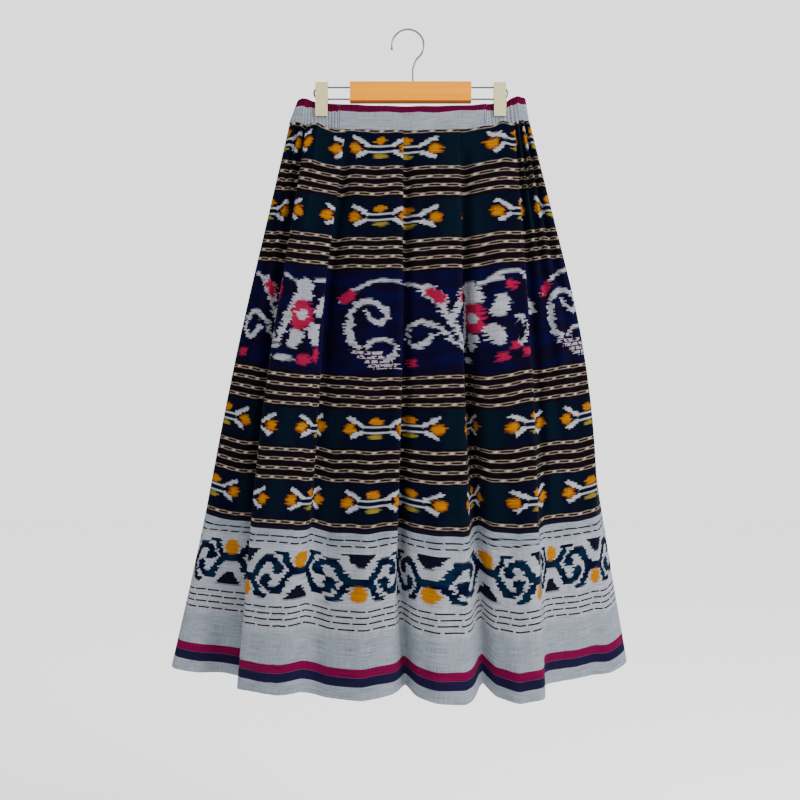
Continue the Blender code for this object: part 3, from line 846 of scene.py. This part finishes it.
def bones(chart, cloth, across, down, dyed_across, dyed_down):
    middle = BONE_MIDDLES[0]
    for one, two in zip(BONE_MIDDLES, BONE_MIDDLES[1:]):
        past = chart.sum("GREATER_THAN", down, (one + two) / 2)
        middle = chart.sum("MULTIPLY_ADD", past, two - one, middle)
    v = chart.minus(down, middle)
    ground = chart.inside(chart.minus(chart.size(v), BONE_BAND_HALF), 0.8)
    u = chart.size(chart.repeat(across, BONE_PERIOD, BONE_MIDDLE))
    gap = chart.inside(chart.minus(TEAL_FROM, u), TEAL_SOFT)
    cloth = chart.over(ground, cloth, chart.over(gap, NAVY, TEAL))
    clean = chart.point(u, v)
    dyed_u = chart.size(chart.repeat(dyed_across, BONE_PERIOD, BONE_MIDDLE))
    p = chart.point(dyed_u, chart.minus(dyed_down, middle))
    arms = [chart.shapes(p, strokes=BONE_ARMS), chart.shapes(clean, strokes=BONE_SHAFTS)]
    cloth = chart.over(chart.inside(chart.nearest(arms), 1.8), cloth, WHITE)
    knob = chart.spot(p, *BONE_KNOB)
    cloth = chart.over(chart.inside(knob, 1.2), cloth, BROWN)
    cloth = chart.over(chart.inside(chart.plus(knob, 2.4), 3.0), cloth, YELLOW)
    cloth = chart.over(chart.inside(chart.spot(p, *BONE_BLOCK), 1.8), cloth, BLOCK_YELLOW)
    return chart.over(chart.inside(chart.spot(p, *BONE_FOOT), 1.4), cloth, OLIVE)


# %% [markdown]
# ## Flowers
# The broad band in the middle has the freest drawing: a flower, a large curl with a fringe of
# bricks under it, leaves and tendrils. They are charted as short lines and ovals in millimetres
# of flat cloth. The tables with ONCE in their name hold what doesn't come again in the next repeat.

# %% The band of flowers and tendrils
FLOWER_PERIOD = 488.0
FLOWER_MIDDLE = 134.0
FLOWER_TOP, FLOWER_FOOT = 214.4, 371.4
FLOWER_GROUND = colour(13, 6, 32)
FLOWER_BLUE = colour(12, 10, 52)
PINK = colour(170, 64, 88)
FEATHER_WHITE = colour(184, 184, 194)
BRICK_WHITE = colour(190, 176, 190)

# centre, radii, half a width, the side that is left open, and where it is cut
FLOWER_CURLS = (
    ((-52, 297), (32, 37), 3.9, (0.75, 0.66), 13),
    ((-32, 333), (22, 16), 3.2, (-0.5, 0.87), 9),
    ((104, 310), (16, 20), 3.0, (1.0, 0.25), 9),
    ((185, 301), (12, 20), 2.8, (1.0, -0.1), 6),
)
FLOWER_STROKES = (
    # hook and side of the large curl, and the tendril over it
    (3.8, (-25, 285), (-35, 294), (-46, 287), (-56, 276)),
    (6.0, (-79, 284), (-84, 304), (-79, 322)),
    (2.2, (-97, 262), (-77, 246), (-49, 232), (-30, 229), (-3, 232)),
    # tail and hook of the small curl
    (3.0, (116, 294), (131, 305), (139, 320), (153, 330), (171, 339)),
    (4.0, (119, 314), (106, 327)),
    (2.2, (89, 231), (112, 240)),
    # two leaves and their stems
    (3.8, (126, 262), (143, 295), (155, 317), (171, 337)),
    (4.0, (156, 262), (144, 291)),
    (9.0, (113, 242), (130, 262)),
    (8.0, (167, 243), (158, 262)),
    # beside the flower
    (3.0, (189, 316), (196, 306)),
    (2.0, (182, 223), (196, 228), (217, 241)),
    (4.2, (201, 232), (206, 268)),
    (2.2, (223, 231), (250, 243)),
    (3.2, (208, 315), (213, 322)),
    (2.4, (205, 331), (226, 329)),
    (2.6, (204, 339), (229, 337)),
    # petals, and the leaf behind them
    (11.0, (258, 257), (257, 243)),
    (9.5, (286, 280), (290, 266)),
    (9.5, (277, 307), (284, 322)),
    (9.0, (254, 318), (250, 329)),
    (5.0, (246, 263), (237, 292), (228, 322)),
    (2.5, (272, 235), (290, 234)),
)
FLOWER_SPOTS = (((207, 354), (7, 4.5)), ((237, 353), (14, 5)))
ONCE_CURLS = (((311, 314), (9, 20), 2.8, (-1.0, 0.0), 5),)
ONCE_STROKES = (
    (2.6, (270, 236), (290, 225), (315, 224), (332, 240), (336, 262)),
    (4.0, (345, 262), (366, 272), (372, 284), (352, 290)),
)
PINK_STROKES = (
    (7.0, (-91, 259), (-79, 251)), (7.5, (119, 247), (129, 259)), (6.0, (165, 245), (159, 258)),
)
PINK_SPOTS = (
    ((257, 287), (15.5, 23)), ((213, 251), (7.5, 16)), ((181, 246), (4, 9)), ((94, 354), (7, 6)),
)
PINK_ONCE = (
    ((-219, 353), (11, 8)), ((-199, 346), (6, 11)), ((303, 245), (9, 8)), ((286, 349), (7, 6.5)),
    ((303, 335), (7.5, 6)), ((318, 347), (6.5, 7)),
)
FLOWER_HEART = ((257, 287), (7.5, 8))
BRICK_TOP, BRICK_FOOT = 335.0, 362.0
BRICK_ROW, BRICK_TALL = 6.4, 4.8
BRICK_PERIOD, BRICK_HALF, BRICK_SLANT = 12.4, 4.2, -5.2
FRINGE_MIDDLE, FRINGE_HALF, FRINGE_SLANT = -55.0, 21.0, -9.0


def fringe(chart, place, down):
    """Rows of small bricks, each row a little further along than the one above it."""
    from_top = chart.minus(down, BRICK_TOP)
    row = chart.sum("FLOOR", chart.times(from_top, 1 / BRICK_ROW))
    v = chart.sum("MODULO", from_top, BRICK_ROW)
    slant = chart.sum("MULTIPLY_ADD", row, BRICK_SLANT, place)
    u = chart.size(chart.repeat(slant, BRICK_PERIOD, 0.0))
    edge = chart.sum("MULTIPLY_ADD", row, FRINGE_SLANT, place)
    edge = chart.size(chart.minus(edge, FRINGE_MIDDLE))
    outside_by = [
        chart.minus(u, BRICK_HALF),
        chart.minus(v, BRICK_TALL),
        chart.minus(edge, FRINGE_HALF),
    ]
    brick = chart.most(chart.most(*outside_by[:2]), outside_by[2])
    return chart.times(chart.inside(brick, 1.0), chart.strip(down, BRICK_TOP, BRICK_FOOT))


def flowers(chart, cloth, across, down, dyed_across, dyed_down):
    blue = chart.sum("MULTIPLY_ADD", chart.cloud(across, down, 0.02, 0.05), 3.0, -1.0, clamp=True)
    field = chart.over(blue, FLOWER_GROUND, FLOWER_BLUE)
    cloth = chart.over(chart.strip(down, FLOWER_TOP, FLOWER_FOOT), cloth, field)
    place = chart.repeat(dyed_across, FLOWER_PERIOD, FLOWER_MIDDLE)
    place = chart.plus(place, FLOWER_MIDDLE)
    p = chart.point(place, dyed_down)
    once = chart.point(dyed_across, dyed_down)
    white = [
        chart.shapes(p, FLOWER_CURLS, FLOWER_STROKES, FLOWER_SPOTS),
        chart.shapes(once, ONCE_CURLS, ONCE_STROKES),
    ]
    cloth = chart.over(chart.inside(chart.nearest(white), 2.4), cloth, FEATHER_WHITE)
    pink = [
        chart.shapes(p, strokes=PINK_STROKES, spots=PINK_SPOTS),
        chart.shapes(once, spots=PINK_ONCE),
    ]
    cloth = chart.over(chart.inside(chart.nearest(pink), 3.4), cloth, PINK)
    heart = chart.spot(p, *FLOWER_HEART)
    cloth = chart.over(chart.inside(heart, 2.4), cloth, FEATHER_WHITE)
    return chart.over(fringe(chart, place, down), cloth, BRICK_WHITE)


# %% [markdown]
# ## Scrolls
# Near the hem one vine runs along, up and down in turn. The part that bends up is the part that
# bends down, turned over, so a quarter of the repeat is enough to chart it all.

# %% The scrolls near the hem
SCROLL_PERIOD = 163.0
SCROLL_MIDDLE = -64.0
SCROLL_DOWN = 675.0
SCROLL_NAVY = colour(9, 14, 42)
SCROLL_TEAL = colour(4, 34, 60)
SCROLL_DARK = colour(16, 16, 34)
VINE = (
    (6.4, (-10, 6), (13, 6)), (5.2, (15, 4), (22, -9), (29, -21)), (5.6, (29, -23), (48, -23)),
    (4.8, (15, 10), (24, 25)), (3.0, (22, 31), (35, 32)), (4.8, (54, 21), (38, 20), (31, 12)),
)
VINE_EYE = ((34, 7), (8.5, 7))
VINE_KNOB = ((0, 23), (11.5, 12))
WEDGE_SLOPE, WEDGE_OUT, WEDGE_TOP, WEDGE_FOOT = 0.72, 6.3, -36.6, -16.0


def scrolls(chart, cloth, across, down, dyed_across, dyed_down):
    """A quarter of the repeat, mirrored, and turned upside down for the next half."""
    u = chart.size(chart.repeat(dyed_across, SCROLL_PERIOD, SCROLL_MIDDLE))
    second = chart.sum("GREATER_THAN", u, SCROLL_PERIOD / 4)
    sign = chart.sum("MULTIPLY_ADD", second, -2.0, 1.0)
    turned = chart.times(second, SCROLL_PERIOD / 2)
    u = chart.plus(chart.times(u, sign), turned)
    v = chart.times(chart.minus(dyed_down, SCROLL_DOWN), sign)
    p = chart.point(u, v)
    wedge = chart.plus(u, chart.sum("MULTIPLY_ADD", v, WEDGE_SLOPE, WEDGE_OUT))
    wedge = chart.most(wedge, chart.minus(v, WEDGE_FOOT))
    wedge = chart.most(wedge, chart.minus(WEDGE_TOP, v))
    cloth = chart.over(chart.inside(wedge, 1.2), cloth, SCROLL_DARK)
    teal = chart.sum("MULTIPLY_ADD", chart.cloud(across, down, 0.04, 0.06), 4.0, -1.5, clamp=True)
    dye = chart.over(teal, SCROLL_NAVY, SCROLL_TEAL)
    vine = chart.shapes(p, strokes=VINE, spots=[VINE_EYE])
    cloth = chart.over(chart.inside(vine, 1.0), cloth, dye)
    return chart.over(chart.inside(chart.spot(p, *VINE_KNOB), 3.5), cloth, YELLOW)


# %% [markdown]
# ## Stripes and dashed lines
# These are woven, not dyed: their edges are straight and clean. The lower part of the skirt is
# pale grey with fine dashed lines, and a magenta and a navy stripe run near the hem.

# %% Dashed lines and hem stripes
Dashes = namedtuple("Dashes", "down period gap shift")
DASHED_LINES = table(
    Dashes,
    (618.8, 22.4, 2.0, 0), (627.6, 17.0, 4.0, 5), (722.8, 22.2, 3.0, 3), (732.0, 22.2, 2.6, 9),
    (741.0, 22.2, 2.6, 6), (750.5, 22.2, 3.4, 12),
)
GREY = colour(166, 174, 184)
PALE_GREY = colour(186, 189, 198)
INK = colour(14, 13, 26)
MAGENTA = colour(126, 16, 70)
STRIPE_NAVY = colour(34, 32, 62)
EDGE_DARK = colour(22, 16, 36)
DASH_HALF = 1.15
EDGE_TOP, GREY_TOP = 602.5, 608.5
PALE_TOP, PALE_FOOT = 630.0, 760.0
MAGENTA_TOP, NAVY_TOP, NAVY_FOOT = 807.8, 820.9, 834.6


def dashed(chart, cloth, across, down):
    for line in DASHED_LINES:
        bar = chart.strip(down, line.down - DASH_HALF, line.down + DASH_HALF)
        u = chart.size(chart.repeat(across, line.period, line.shift))
        dash = chart.inside(chart.minus(u, (line.period - line.gap) / 2), 0.8)
        cloth = chart.over(chart.times(bar, dash), cloth, INK)
    return cloth


# %% [markdown]
# ## The whole cloth from its parts
# Flat colour looks printed. In woven cotton every thread takes the dye a little differently, so
# the brightness wanders along the weft and the warp. A fine weave in the bump and almost no gloss
# do the rest. The finish is the same for every motif, so it is one function.

# %% Finish, ground and motif together
CLOTH_DARK = colour(10, 4, 6)
CLOTH_WARM = colour(16, 4, 16)
DYE_LIGHT = 0.065
DYE_MOTTLE = 0.5
DYE_SATURATION = 1.12
WARP_PITCH, WEFT_PITCH = 0.9, 0.8
FEATHER, FLOWER_FEATHER, BAND_FEATHER = 10.0, 15.0, 1.0


def finish_cloth(chart, cloth, across, down):
    """Uneven threads, the weave's fine relief and the dull sheen of cotton."""
    streak = chart.cloud(across, down, 1 / 30, 0.9, 2.0)
    slub = chart.cloud(across, down, 0.8, 1 / 24, 1.0)
    mottled = chart.sum("MULTIPLY_ADD", streak, 0.75, chart.times(slub, 0.35))
    hue = chart.add("ShaderNodeHueSaturation")
    hue.inputs["Saturation"].default_value = DYE_SATURATION
    chart.feed(hue.inputs["Color"], cloth)
    chart.feed(hue.inputs["Value"], chart.sum("MULTIPLY_ADD", mottled, DYE_MOTTLE, DYE_LIGHT))
    warp = chart.sum("SINE", chart.times(across, 2 * math.pi / WARP_PITCH))
    weft = chart.sum("SINE", chart.times(down, 2 * math.pi / WEFT_PITCH))
    uneven = chart.plus(streak, slub)
    weave = chart.sum("MULTIPLY_ADD", chart.times(warp, weft), 0.5, uneven)
    chart.finish(hue.outputs[0], {
        "Normal": chart.bump(weave, 0.3, 0.0004),
        "Roughness": 0.92,
        "Sheen Weight": 0.01,
        "Sheen Roughness": 0.5,
        "Specular IOR Level": 0.03,
    })


def pale_part(chart, place):
    """The grey end of the cloth: scrolls, dashed lines and stripes."""
    across, down = place[:2]
    cloth = chart.over(chart.strip(down, PALE_TOP, PALE_FOOT, 12.0), GREY, PALE_GREY)
    cloth = scrolls(chart, cloth, *place)
    cloth = dashed(chart, cloth, across, down)
    cloth = chart.over(chart.strip(down, MAGENTA_TOP, NAVY_TOP), cloth, MAGENTA)
    cloth = chart.over(chart.strip(down, NAVY_TOP, NAVY_FOOT), cloth, STRIPE_NAVY)
    return chart.over(chart.inside(chart.minus(down, GREY_TOP), 0.6), cloth, EDGE_DARK)


def dark_part(chart, place, motif, rows):
    """The dark cloth with one motif, its chains and its lower edge."""
    across, down = place[:2]
    warm = chart.sum("MULTIPLY_ADD", chart.cloud(across, down, 0.03, 0.15), 4.0, -1.6, clamp=True)
    cloth = chart.over(warm, CLOTH_DARK, CLOTH_WARM)
    cloth = motif(chart, cloth, *place)
    cloth = chains(chart, cloth, across, down, rows)
    for top, tone in ((EDGE_TOP, EDGE_DARK), (GREY_TOP, GREY)):
        cloth = chart.over(chart.inside(chart.minus(top, down), 0.6), cloth, tone)
    return cloth


def ikat(name, motif):
    """One part of the skirt's cloth; motif is bones, flowers or scrolls."""
    material, chart = new_material(name)
    place = cloth_place(chart, FLOWER_FEATHER if motif is flowers else FEATHER)
    if motif is scrolls:
        cloth = pale_part(chart, place)
    elif motif is flowers:
        near = [row for row in CHAIN_ROWS if 190 < row < 400]
        cloth = dark_part(chart, place, flowers, near)
    else:
        cloth = dark_part(chart, place, bones, CHAIN_ROWS)
    finish_cloth(chart, cloth, *place[:2])
    print(name, len(material.node_tree.nodes), "nodes")
    return material


skirt_parts = (
    ikat("ikat_chains_and_bones", bones),
    ikat("ikat_flowers", flowers),
    ikat("ikat_scrolls", scrolls),
)

# %% [markdown]
# ## Which part of the cloth is which
# One material could hold every motif, but then each point of the skirt would pay for all of them.
# Each motif keeps to its own band, so each row of faces gets the material of its band.

# %% Materials by row
FLOWER_FACES = (212, 374)
SCROLL_FACES = 606


def dress(obj, drop_of_face):
    for material in skirt_parts:
        obj.data.materials.append(material)
    part = np.zeros(len(drop_of_face), int)
    part[(drop_of_face > FLOWER_FACES[0]) & (drop_of_face < FLOWER_FACES[1])] = 1
    part[drop_of_face > SCROLL_FACES] = 2
    obj.data.polygons.foreach_set("material_index", part)
    obj.data.update()
    print(obj.name, "faces by band:", np.bincount(part).tolist())


def drops_of(obj):
    uv = np.zeros(len(obj.data.loops) * 2)
    obj.data.uv_layers["flat_cut"].data.foreach_get("uv", uv)
    return uv.reshape(-1, 4, 2)[:, :, 1].mean(axis=1) / MM


for piece in (front, back):
    dress(piece, drops_of(piece))

# %% [markdown]
# ## The waistband's cloth
# The band is cut from the pale end of the cloth, so that its maroon selvedge makes the top edge.
# Over the elastic the strip looks deeper, because the gathers roll it forwards.

# %% Band material
MAROON = colour(98, 20, 54)
MAROON_EDGE = colour(205, 176, 190)
BAND_GREY = colour(170, 177, 188)


def band_material(name, edge, rolled):
    """Pale grey cloth under a maroon edge; rolled is how far the edge wanders, in millimetres."""
    material, chart = new_material(name)
    across, down = cloth_place(chart, BAND_FEATHER)[:2]
    line = chart.sum("MULTIPLY_ADD", chart.cloud(across, down, 0.11, 0.0), rolled, edge)
    off = chart.minus(down, line)
    rim = chart.inside(chart.minus(off, 0.9), 0.6)
    cloth = chart.over(rim, BAND_GREY, MAROON_EDGE)
    cloth = chart.over(chart.inside(off, 0.6), cloth, MAROON)
    finish_cloth(chart, cloth, across, down)
    return material


front_band.data.materials.append(band_material("band_flat", 9.4, 0.8))
elastic_band.data.materials.append(band_material("band_gathered", 9.2, 4.0))

# %% [markdown]
# ## Stitches
# A seam is read by its stitches: a line of thread along the band's foot, an upright line where the
# flat band meets the elastic casing, and one row that holds the hem. Each is a short piece of
# thread repeated along a path. Copies made by hand would be slow to change. So Geometry Nodes put
# one stitch at every step of the path, and only the step, the length and the thickness are named.

# %% A tree that sews along a path
def sewing_tree():
    tree = bpy.data.node_groups.new("sew_along_path", "GeometryNodeTree")
    tree.interface.new_socket("Path", in_out="INPUT", socket_type="NodeSocketGeometry")
    for name in ("Step", "Stitch Length", "Thread Radius"):
        tree.interface.new_socket(name, in_out="INPUT", socket_type="NodeSocketFloat")
    tree.interface.new_socket("Thread", in_out="INPUT", socket_type="NodeSocketMaterial")
    tree.interface.new_socket("Stitches", in_out="OUTPUT", socket_type="NodeSocketGeometry")
    start = tree.nodes.new("NodeGroupInput")
    curve = tree.nodes.new("GeometryNodeMeshToCurve")
    points = tree.nodes.new("GeometryNodeCurveToPoints")
    points.mode = "LENGTH"
    turn = tree.nodes.new("FunctionNodeAlignRotationToVector")
    turn.axis = "Z"
    stitch = tree.nodes.new("GeometryNodeMeshCylinder")
    stitch.inputs["Vertices"].default_value = 6
    place = tree.nodes.new("GeometryNodeInstanceOnPoints")
    real = tree.nodes.new("GeometryNodeRealizeInstances")
    dye = tree.nodes.new("GeometryNodeSetMaterial")
    end = tree.nodes.new("NodeGroupOutput")
    for source, target in (
        (start.outputs["Path"], curve.inputs["Mesh"]),
        (curve.outputs["Curve"], points.inputs["Curve"]),
        (start.outputs["Step"], points.inputs["Length"]),
        (start.outputs["Thread Radius"], stitch.inputs["Radius"]),
        (start.outputs["Stitch Length"], stitch.inputs["Depth"]),
        (points.outputs["Points"], place.inputs["Points"]),
        (points.outputs["Tangent"], turn.inputs["Vector"]),
        (stitch.outputs["Mesh"], place.inputs["Instance"]),
        (turn.outputs["Rotation"], place.inputs["Rotation"]),
        (place.outputs["Instances"], real.inputs["Geometry"]),
        (real.outputs["Geometry"], dye.inputs["Geometry"]),
        (start.outputs["Thread"], dye.inputs["Material"]),
        (dye.outputs["Geometry"], end.inputs["Stitches"]),
    ):
        tree.links.new(source, target)
    return tree


SEWING = sewing_tree()


def sew(name, paths, step, length, radius, thread):
    """Stitches along paths of points in millimetres, as one plain mesh."""
    points, edges = [], []
    for path in paths:
        first = len(points)
        points += [tuple(p) for p in np.asarray(path) * MM]
        edges += [(i, i + 1) for i in range(first, len(points) - 1)]
    mesh = bpy.data.meshes.new(name + "_path")
    mesh.from_pydata(points, edges, [])
    path_object = placed(name + "_path", mesh)
    modifier = path_object.modifiers.new("sewing", "NODES")
    modifier.node_group = SEWING
    wanted = {"Step": step * MM, "Stitch Length": length * MM, "Thread Radius": radius * MM}
    wanted["Thread"] = thread
    for item in SEWING.interface.items_tree:
        if item.in_out == "INPUT" and item.name in wanted:
            modifier[item.identifier] = wanted[item.name]
    drawn = path_object.evaluated_get(bpy.context.evaluated_depsgraph_get())
    sewn = placed(name, bpy.data.meshes.new_from_object(drawn))
    sewn.data.name = name
    if not sewn.data.materials:
        sewn.data.materials.append(thread)
    bpy.data.objects.remove(path_object)
    print(name, len(sewn.data.polygons), "faces")
    return sewn


# %% [markdown]
# ## Thread
# Sewing thread is two or three plies twisted together. At this size only the fine change from
# light to dark shows, so noise in the solid is enough, and no twist is modelled.

# %% Thread
def thread(name, light, dark):
    """Plies as a fine change from light to dark."""
    material, chart = new_material(name)
    ply = chart.grain((1800.0, 1800.0, 1800.0), 1.0)
    tone = chart.over(ply, dark, light)
    chart.finish(tone, {"Normal": chart.bump(ply, 0.4, 0.0002), "Roughness": 0.7})
    return material


grey_thread = thread("grey_thread", colour(120, 124, 132), colour(82, 86, 94))
dark_thread = thread("dark_thread", colour(34, 30, 40), colour(14, 12, 18))

# %% Sew the band and the hem
def outside(grid, towards, lift):
    """The grid's points moved off the cloth, towards the front (-1) or the back (+1)."""
    normal = normals_of(grid)
    if np.sign(normal[:, :, 1].mean()) != towards:
        normal = -normal
    return grid + normal * lift


BAND_LIFT, HEM_LIFT = 0.95, 0.5
FOOT_ROW = 16
HEM_STITCH_DOWN = 836.5
HEM_STEP, HEM_STITCH, HEM_RADIUS = 4.2, 2.4, 0.2
band_face = outside(front_band_grid, -1, BAND_LIFT)
foot_line = band_face[FOOT_ROW, 1:-1]
joint_lines = [band_face[1:-1, 1], band_face[1:-1, -2]]
band_stitches = sew("band_stitches", [foot_line], 2.6, 1.9, 0.16, grey_thread)
joint_stitches = sew("band_joint_stitches", joint_lines, 1.9, 1.6, 0.26, dark_thread)


def hem_stitches(name, grid, rows, towards, spare):
    """One row of stitches along the hem, from a few columns inside each side seam."""
    row = round(HEM_STITCH_DOWN / SKIRT_DROP * rows)
    path = outside(grid, towards, HEM_LIFT)[row, spare:-spare]
    return sew(name, [path], HEM_STEP, HEM_STITCH, HEM_RADIUS, grey_thread)


front_hem = hem_stitches("front_hem_stitches", front_grid, FRONT_ROWS, -1, 2)
back_hem = hem_stitches("back_hem_stitches", back_grid, BACK_ROWS, 1, 4)

# %% [markdown]
# ## The hanger
# Its solids are already right, so they stay and only get their finishes: varnished wood with a
# straight grain, ivory plastic, dull steel rods and a brighter plated hook.

# %% Hanger finishes
WOOD_LIGHT, WOOD_DARK, WOOD_WARM = colour(194, 120, 0), colour(176, 102, 0), colour(198, 130, 0)
WOOD_PAINTED_SHADE = colour(120, 56, 4)
BAR_FOOT_Z = -107.6


def wood():
    """Straight grain along the bar, and painted shade along its underside."""
    material, chart = new_material("varnished_wood")
    grain = chart.grain((9, 260, 420), 3.0)
    streak = chart.sum("MULTIPLY_ADD", grain, 1.8, -0.4, clamp=True)
    tone = chart.over(streak, WOOD_LIGHT, WOOD_DARK)
    broad = chart.sum("MULTIPLY_ADD", chart.grain((3, 30, 60), 1.0), 1.5, -0.5, clamp=True)
    tone = chart.over(broad, tone, WOOD_WARM)
    # Painted shade: below its foot the bar is coloured darker, on the side that faces down.
    height = chart.parts(chart.add("ShaderNodeTexCoord").outputs["Object"])[2]
    under = chart.sum("MULTIPLY_ADD", height, -1 / MM, BAR_FOOT_Z)
    tone = chart.over(chart.times(under, 1.2, clamp=True), tone, WOOD_PAINTED_SHADE)
    chart.finish(tone, {
        "Normal": chart.bump(grain, 0.08, 0.0003),
        "Roughness": 0.5,
        "Specular IOR Level": 0.04,
        "Coat Weight": 0.03,
        "Coat Roughness": 0.2,
    })
    return material


def plastic():
    """Ivory plastic that lets a little light in."""
    material, chart = new_material("ivory_plastic")
    tone = chart.over(chart.grain((70, 70, 70), 2.0), colour(168, 158, 116), colour(150, 142, 100))
    chart.finish(tone, {"Roughness": 0.42, "Subsurface Weight": 0.1, "Subsurface Scale": 0.002})
    return material


def metal(name, light, dark, rough):
    """Plated steel with fine scratches along the wire."""
    material, chart = new_material(name)
    scratches = chart.grain((120, 900, 400), 3.0)
    dull = chart.sum("MULTIPLY_ADD", scratches, 0.2, rough)
    chart.finish(chart.over(scratches, light, dark), {"Roughness": dull, "Metallic": 1.0})
    return material


finishes = {
    "hanger_bar": wood(),
    "clip_left": plastic(),
    "wire_left": metal("dull_steel", colour(96, 96, 100), colour(60, 60, 64), 0.3),
    "hanger_hook": metal("plated_hook", colour(120, 120, 124), colour(84, 84, 88), 0.14),
}
finishes["clip_right"] = finishes["clip_left"]
finishes["wire_right"] = finishes["wire_left"]
for node, material in finishes.items():
    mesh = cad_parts[node].data
    mesh.materials.clear()
    mesh.materials.append(material)
print("finished:", sorted(finishes))

# %% [markdown]
# ## The ball at the hook's end
# The wire's end is rounded off with a small ball, so that it doesn't catch the cloth.

# %% Hook tip
TIP_RADIUS = 2.3 * MM
TIP_PLACE = (-24.3 * MM, 0, -28.0 * MM)
ball_mesh = bpy.data.meshes.new("hook_tip")
maker = bmesh.new()
bmesh.ops.create_uvsphere(maker, u_segments=24, v_segments=16, radius=TIP_RADIUS)
bmesh.ops.translate(maker, verts=maker.verts, vec=TIP_PLACE)
maker.to_mesh(ball_mesh)
maker.free()
ball_mesh.shade_smooth()
ball_mesh.materials.append(finishes["hanger_hook"])
ball = placed("hook_tip", ball_mesh)
print("hook tip:", len(ball_mesh.polygons), "faces")

# %% [markdown]
# ## Camera
# The photograph was taken square on, about level with the middle of the skirt. The lens and the
# distance decide how much the hem's waves open towards the viewer. They were found by matching the
# skirt's outline to the photograph's.

# %% Camera, as the photograph was taken
camera_data = bpy.data.cameras.new("view")
camera_data.sensor_width = 36.0
camera_data.lens = 44.4
camera = placed("view", camera_data)
camera.location = (-0.012, -1.5, -0.562)
camera.rotation_euler = (math.radians(90), 0, 0)
bpy.context.scene.camera = camera
print("camera at", tuple(round(c, 3) for c in camera.location))

# %% [markdown]
# ## Floor and light
# The skirt hangs in a pale room with hardly any shadow. A wide matt floor and an even bright world
# give that. One soft lamp from the right makes the folds show, because the left side of the
# photograph is in a little more shade. A very weak one from the left keeps the darks open.

# %% Floor and light
FLOOR_HALF, FLOOR_Z = 6.0, -1.45
FLOOR_SIGNS = ((-1, -1), (1, -1), (1, 1), (-1, 1))
corners = [(x * FLOOR_HALF, y * FLOOR_HALF, FLOOR_Z) for x, y in FLOOR_SIGNS]
floor_mesh = bpy.data.meshes.new("floor")
floor_mesh.from_pydata(corners, [], [(0, 1, 2, 3)])
floor = placed("floor", floor_mesh)
floor_material, floor_chart = new_material("pale_floor")
floor_chart.finish((0.96, 0.96, 0.96, 1), {"Roughness": 1.0, "Specular IOR Level": 0.0})
floor_mesh.materials.append(floor_material)

world = bpy.data.worlds.new("studio")
bpy.context.scene.world = world
world.use_nodes = True
background = world.node_tree.nodes["Background"]
background.inputs["Color"].default_value = (0.96, 0.97, 0.98, 1)
background.inputs["Strength"].default_value = 2.0


def softbox(name, place, turn, size, power):
    data = bpy.data.lights.new(name, "AREA")
    data.size = size
    data.energy = power
    lamp = placed(name, data)
    lamp.location = place
    lamp.rotation_euler = [math.radians(a) for a in turn]
    print(name, power, "W")


softbox("key", (1.8, -1.2, 0.4), (64, 0, 55), 1.0, 96)
softbox("fill", (-1.6, -1.4, -0.3), (82, 0, -48), 1.6, 1)

# %% [markdown]
# ## What each piece stands for
# The fine cloth takes the place of its CAD solid and rides on the same body.

# %% What rides and what replaces
for piece, node, slot in (
    (front, "front_panel", "ikat_cloth"),
    (back, "back_panel", "ikat_cloth"),
    (front_band, "front_waistband", "band_cloth"),
    (elastic_band, "elastic_waistband", "elastic_cloth"),
):
    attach(piece, "root")
    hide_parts(node)
for piece, slot in (
    (ball, "hook_metal"),
    (band_stitches, "band_cloth"),
    (joint_stitches, "band_cloth"),
    (front_hem, "ikat_cloth"),
    (back_hem, "ikat_cloth"),
):
    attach(piece, "root")
for piece in (front, back, front_band, elastic_band):
    print(piece.name, "stands in with", len(piece.data.polygons), "faces")
